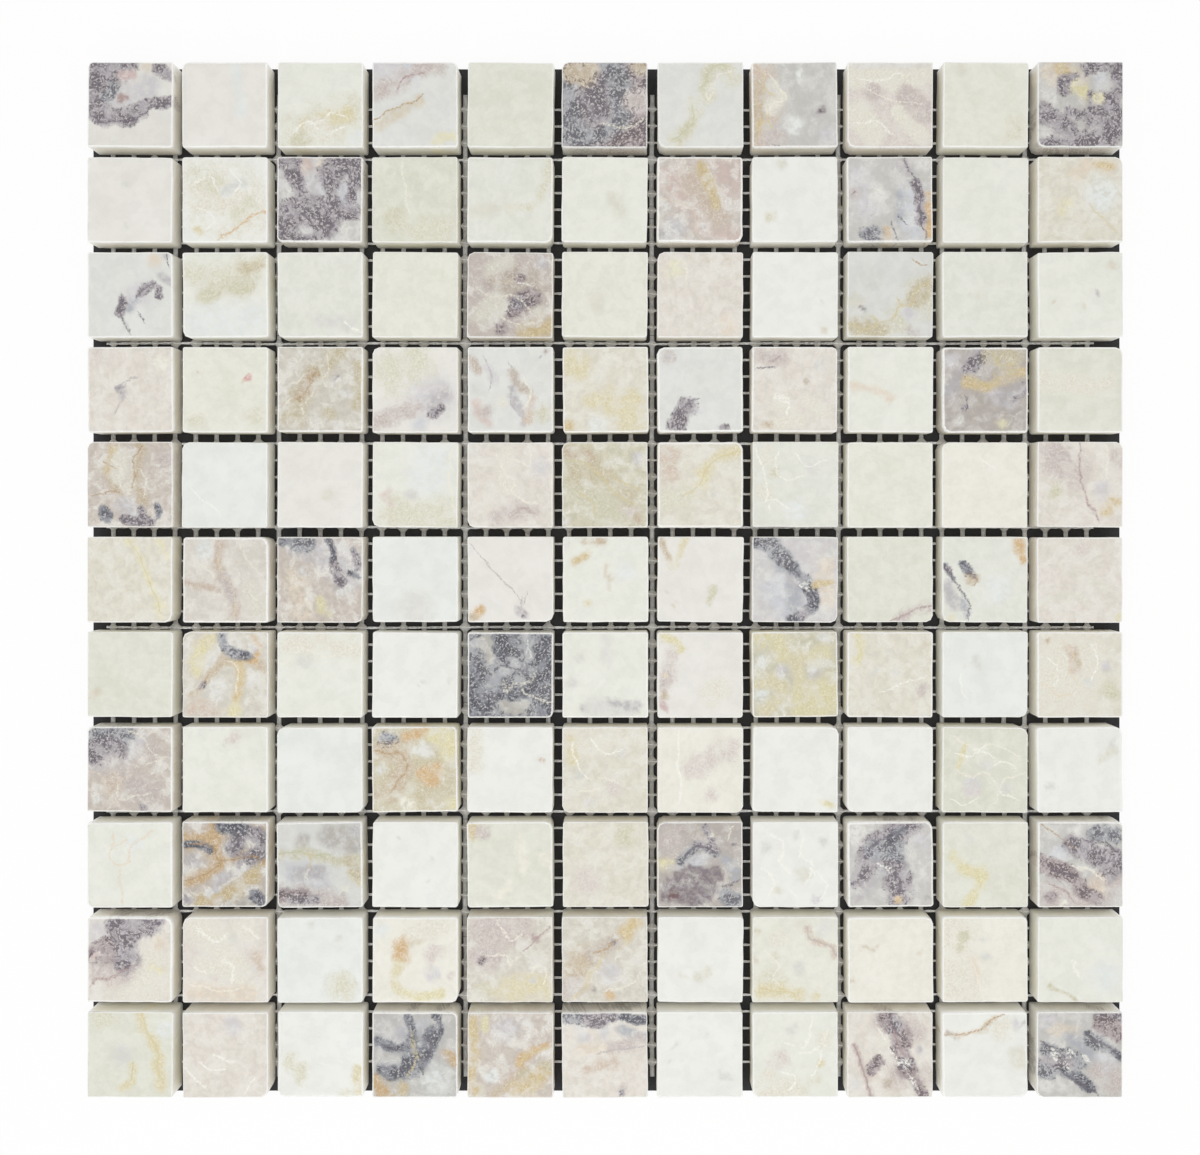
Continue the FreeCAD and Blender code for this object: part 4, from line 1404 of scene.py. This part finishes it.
def sweepStrand(bm, axis, sides, stations, capLast=False):
    # a tube through stations of (middle, half sizes), along X or Y, in millimetres
    turn = Matrix.Rotation(math.radians(90), 4, "YX"[axis])
    ring = bmesh.ops.create_circle(bm, segments=sides, radius=1, matrix=turn)["verts"]
    edges = [edge for edge in bm.edges if edge.verts[0] in ring]
    oldMiddle, oldSize = Vector((0, 0, 0)), Vector((1, 1, 1))
    for number, (newMiddle, newSize) in enumerate(stations):
        if number:
            grown = bmesh.ops.extrude_edge_only(bm, edges=edges)["geom"]
            ring = [item for item in grown if isinstance(item, bmesh.types.BMVert)]
            edges = [item for item in grown if isinstance(item, bmesh.types.BMEdge)]
        ratio = [new / old for new, old in zip(newSize, oldSize)]
        bmesh.ops.scale(bm, vec=ratio, space=Matrix.Translation(-oldMiddle), verts=ring)
        bmesh.ops.translate(bm, vec=newMiddle - oldMiddle, verts=ring)
        oldMiddle, oldSize = newMiddle, newSize
    if capLast:
        bmesh.ops.contextual_create(bm, geom=edges)


def templateMesh(bm, name):
    # a bit of the net to repeat, in millimetres
    bmesh.ops.recalc_face_normals(bm, faces=bm.faces)
    mesh = meshFrom(bm, name)
    across, glue = [np.full(len(mesh.vertices), value) for value in netLook[name]]
    storeAttributes(mesh, {"across": across, "glue": glue})
    return mesh


def rovingStation(y, heights, spread=1.0):
    bottom, top = heights
    narrower = math.cos(math.pi / netCut["rovingSides"])    # than the circle that its ring is made from
    size = (netCut["rovingWidth"] / 2 / narrower * spread, 1, (top - bottom) / 2)
    return Vector((0, y, (bottom + top) / 2)), Vector(size)


def rovingMesh():
    # between two gaps, past one crossing
    bm = bmesh.new()
    end = netCut["pitchDown"] / 2
    loose, pinched = netCut["rovingHeights"], netCut["pinchedHeights"]
    beside, wider, narrower = netCut["pinch"]
    stations = [rovingStation(-end, loose), rovingStation(-beside, loose, wider),
                rovingStation(0, pinched, narrower), rovingStation(beside, loose, wider),
                rovingStation(end, loose)]
    sweepStrand(bm, 1, netCut["rovingSides"], stations)
    return templateMesh(bm, "rovingLength")


def rovingTailMesh(sign):
    bm = bmesh.new()
    start, end = sign * netCut["pitchDown"] / 2, sign * netCut["rovingTail"]
    stations = [rovingStation(start, netCut["rovingHeights"]), rovingStation(end, netCut["frayedHeights"])]
    sweepStrand(bm, 1, netCut["rovingSides"], stations, capLast=True)
    return templateMesh(bm, "rovingTail")


def yarnStation(x, turned):
    angle = math.radians(turned)
    aside = netCut["yarnAside"] * math.cos(angle)
    lift = netCut["yarnLift"] * math.sin(angle)
    width, thickness = netCut["yarnSize"]
    return Vector((x, aside, netCut["yarnMiddle"] + lift)), Vector((1, width / 2, thickness / 2))


def yarnMesh(name, steps, length, capLast=False):
    # a pair of yarns that twist about each other, and start one above the other at a crossing
    bm = bmesh.new()
    turned = netCut["twist"] * length / netCut["pitchAcross"]
    for start in (90, 270):
        stations = [yarnStation(length * n / steps, start + turned * n / steps) for n in range(steps + 1)]
        sweepStrand(bm, 0, netCut["yarnSides"], stations, capLast)
    return templateMesh(bm, name)


def glueMesh():
    # glue that fills the corners of a crossing: an eight-sided cross, raised to a peak above and below
    bm = bmesh.new()
    armX, armY = netCut["glueArms"]
    filletX, filletY = netCut["glueFillet"]
    bottom, lowEdge, highEdge, top = netCut["glueHeights"]
    disc = bmesh.ops.create_circle(bm, segments=8, radius=1, cap_ends=True)["verts"]
    onAxis = 0.1
    arms = [vertex for vertex in disc if min(abs(vertex.co.x), abs(vertex.co.y)) < onAxis]
    corners = [vertex for vertex in disc if vertex not in arms]
    root = math.sqrt(2)
    bmesh.ops.scale(bm, vec=(armX, armY, 1), verts=arms)
    bmesh.ops.scale(bm, vec=(filletX * root, filletY * root, 1), verts=corners)
    bmesh.ops.translate(bm, vec=(0, 0, lowEdge), verts=disc)
    base = list(bm.faces)
    grown = bmesh.ops.extrude_face_region(bm, geom=base, use_keep_orig=True)["geom"]
    raised = [item for item in grown if isinstance(item, bmesh.types.BMVert)]
    lid = [item for item in grown if isinstance(item, bmesh.types.BMFace)]
    bmesh.ops.translate(bm, vec=(0, 0, highEdge - lowEdge), verts=raised)
    for faces, rise in ((lid, top - highEdge), (base, bottom - lowEdge)):
        peaks = bmesh.ops.poke(bm, faces=faces)["verts"]
        bmesh.ops.translate(bm, vec=(0, 0, rise), verts=peaks)
    return templateMesh(bm, "glueAtCrossing")


def strandsBetween(first, pitch, start, end):
    # the middles of the strands that lie between two places, in millimetres
    middles = [first + pitch * number for number in range(-netCut["mostStrands"], netCut["mostStrands"])]
    return [place for place in middles if start < place < end]


def addCopy(bm, mesh, x, y, size=(1, 1, 1)):
    copy = mesh.copy()
    copy.transform(Matrix.Translation((x, y, 0)) @ Matrix.Diagonal((*size, 1)))
    bm.from_mesh(copy)
    bpy.data.meshes.remove(copy)


def driftNet(co, drift):
    # the strands wander a little together, in millimetres
    x, y = co[:, 0].copy(), co[:, 1].copy()
    co[:, 0] += netCut["wander"] * sumOfWaves(drift[0], x, y)
    co[:, 1] += netCut["wander"] * sumOfWaves(drift[1], x, y)


def layStrands(bm, bits, start, end, chance):
    # one panel's crossings and the yarns between them, with tails at the net's own ends
    across = strandsBetween(firstAcross, netCut["pitchAcross"], start.x, end.x)
    down = strandsBetween(firstDown, -netCut["pitchDown"], start.y, end.y)
    tailed = netCut["rovingTail"] - netCut["tailSpare"]
    for y in down:
        for x in across:
            addCopy(bm, bits["roving"], x, y)
            spread = chance.uniform(*netCut["glueSpread"])
            addCopy(bm, bits["glue"], x, y, (spread, spread, 1))
            if y == down[0] and end.y - y > tailed:
                addCopy(bm, bits["tailUp"], x, y)
            if y == down[-1] and y - start.y > tailed:
                addCopy(bm, bits["tailDown"], x, y)
        for x in across[:-1]:
            addCopy(bm, bits["yarns"], x, y)
        addCopy(bm, bits["yarnTail"], across[-1], y)
        addCopy(bm, bits["yarnTail"], across[0], y, (-1, 1, 1))


def closeEnds(bm):
    # joins the bits and closes the strands where the panel ends, with a sharp rim
    bmesh.ops.remove_doubles(bm, verts=bm.verts, dist=netCut["weld"])
    rims = [edge for edge in bm.edges if edge.is_boundary]
    bmesh.ops.holes_fill(bm, edges=rims, sides=netCut["rovingSides"])
    bmesh.ops.recalc_face_normals(bm, faces=bm.faces)
    for face in bm.faces:
        face.smooth = True
    for edge in rims:
        edge.smooth = False


def makePanel(node, name, bits, drift, material):
    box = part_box(node)
    start, end = [corner / millimetre for corner in box]
    bm = bmesh.new()
    layStrands(bm, bits, start, end, random.Random(name))
    closeEnds(bm)
    mesh = meshFrom(bm, name)
    co = readPlaces(mesh)
    driftNet(co, drift)
    writePlaces(mesh, co * millimetre, box)
    return finishPiece(name, mesh, material, node)


def makeNet():
    chance = random.Random(netCut["seed"])
    pairSteps, tailSteps = netCut["yarnSteps"]
    tail = netCut["rovingWidth"] / 2 + netCut["yarnTail"]
    bits = {
        "roving": rovingMesh(),
        "tailUp": rovingTailMesh(1),
        "tailDown": rovingTailMesh(-1),
        "yarns": yarnMesh("yarnPair", pairSteps, netCut["pitchAcross"]),
        "yarnTail": yarnMesh("yarnTail", tailSteps, tail, capLast=True),
        "glue": glueMesh(),
    }
    drift = [waves(chance, *netCut["drift"]) for _ in range(2)]
    material = netMaterial()
    triangles = 0
    panels = sorted(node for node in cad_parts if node.startswith("net_panel"))
    for number, node in enumerate(panels):
        piece = makePanel(node, f"netPanel{number + 1:02d}", bits, drift, material)
        triangles += countTriangles(piece.data)
    for mesh in bits.values():
        bpy.data.meshes.remove(mesh)
    return triangles


print("net made,", makeNet(), "triangles")


# The surface the sheet lies on: pale, with dark felt just under the sheet that shows in its joints

ground = {
    "side": 3.0,                 # metres
    "drop": 0.0004,              # metres below the sheet
    "colour": srgb(250, 250, 250),
    "roughness": 0.9,
    "shadowShare": 0.12,         # how much the camera sees of the light on it, where the rest is white
    "feltColour": srgb(48, 48, 50),
    "feltShades": (0.7, 1.3),    # of its colour, from thin to thick
    "feltRoughness": 0.95,
    "feltMargins": (0.0019, 0.0024, 0.0019, 0.001),    # left, right, bottom and top of the sheet
    "feltDrop": 0.0001,
    "fuzz": (900.0, 3.0, 0.55),  # scale to the metre, detail and roughness
}


def floorMaterial():
    material, tree, shader = newMaterial("paleFloor")
    plug(tree, shader, {"Base Color": (*ground["colour"], 1), "Roughness": ground["roughness"]})
    glow = put(tree, "ShaderNodeEmission", {"Color": (1, 1, 1, 1), "Strength": 1.0})
    share = times(tree, seenDirectly(tree), 1 - ground["shadowShare"])
    mix = put(tree, "ShaderNodeMixShader", {0: share, 1: shader.outputs[0], 2: glow.outputs[0]})
    plug(tree, tree.nodes["Material Output"], {"Surface": mix.outputs[0]})
    return material


def feltMaterial():
    material, tree, shader = newMaterial("darkFelt")
    fuzz = noisy(tree, objectPlace(tree), *ground["fuzz"])["Fac"]
    thin, thick = [[share * value for value in ground["feltColour"]] for share in ground["feltShades"]]
    colour = mixed(tree, fuzz, thin, thick)
    plug(tree, shader, {"Base Color": colour, "Roughness": ground["feltRoughness"]})
    return material


def addFlat(name, left, right, bottom, top, height, material):
    bm = bmesh.new()
    bmesh.ops.create_grid(bm, x_segments=1, y_segments=1, size=0.5)
    bmesh.ops.scale(bm, vec=(right - left, top - bottom, 1), verts=bm.verts)
    bmesh.ops.translate(bm, vec=((left + right) / 2, (bottom + top) / 2, height), verts=bm.verts)
    flat = addObject(name, meshFrom(bm, name), material)


reach = ground["side"] / 2
addFlat("floor", -reach, reach, -reach, reach, low.z - ground["drop"], floorMaterial())
leftMargin, rightMargin, bottomMargin, topMargin = ground["feltMargins"]
addFlat("felt", low.x - leftMargin, high.x + rightMargin, low.y - bottomMargin, high.y + topMargin,
        low.z - ground["feltDrop"], feltMaterial())
print("ground laid")
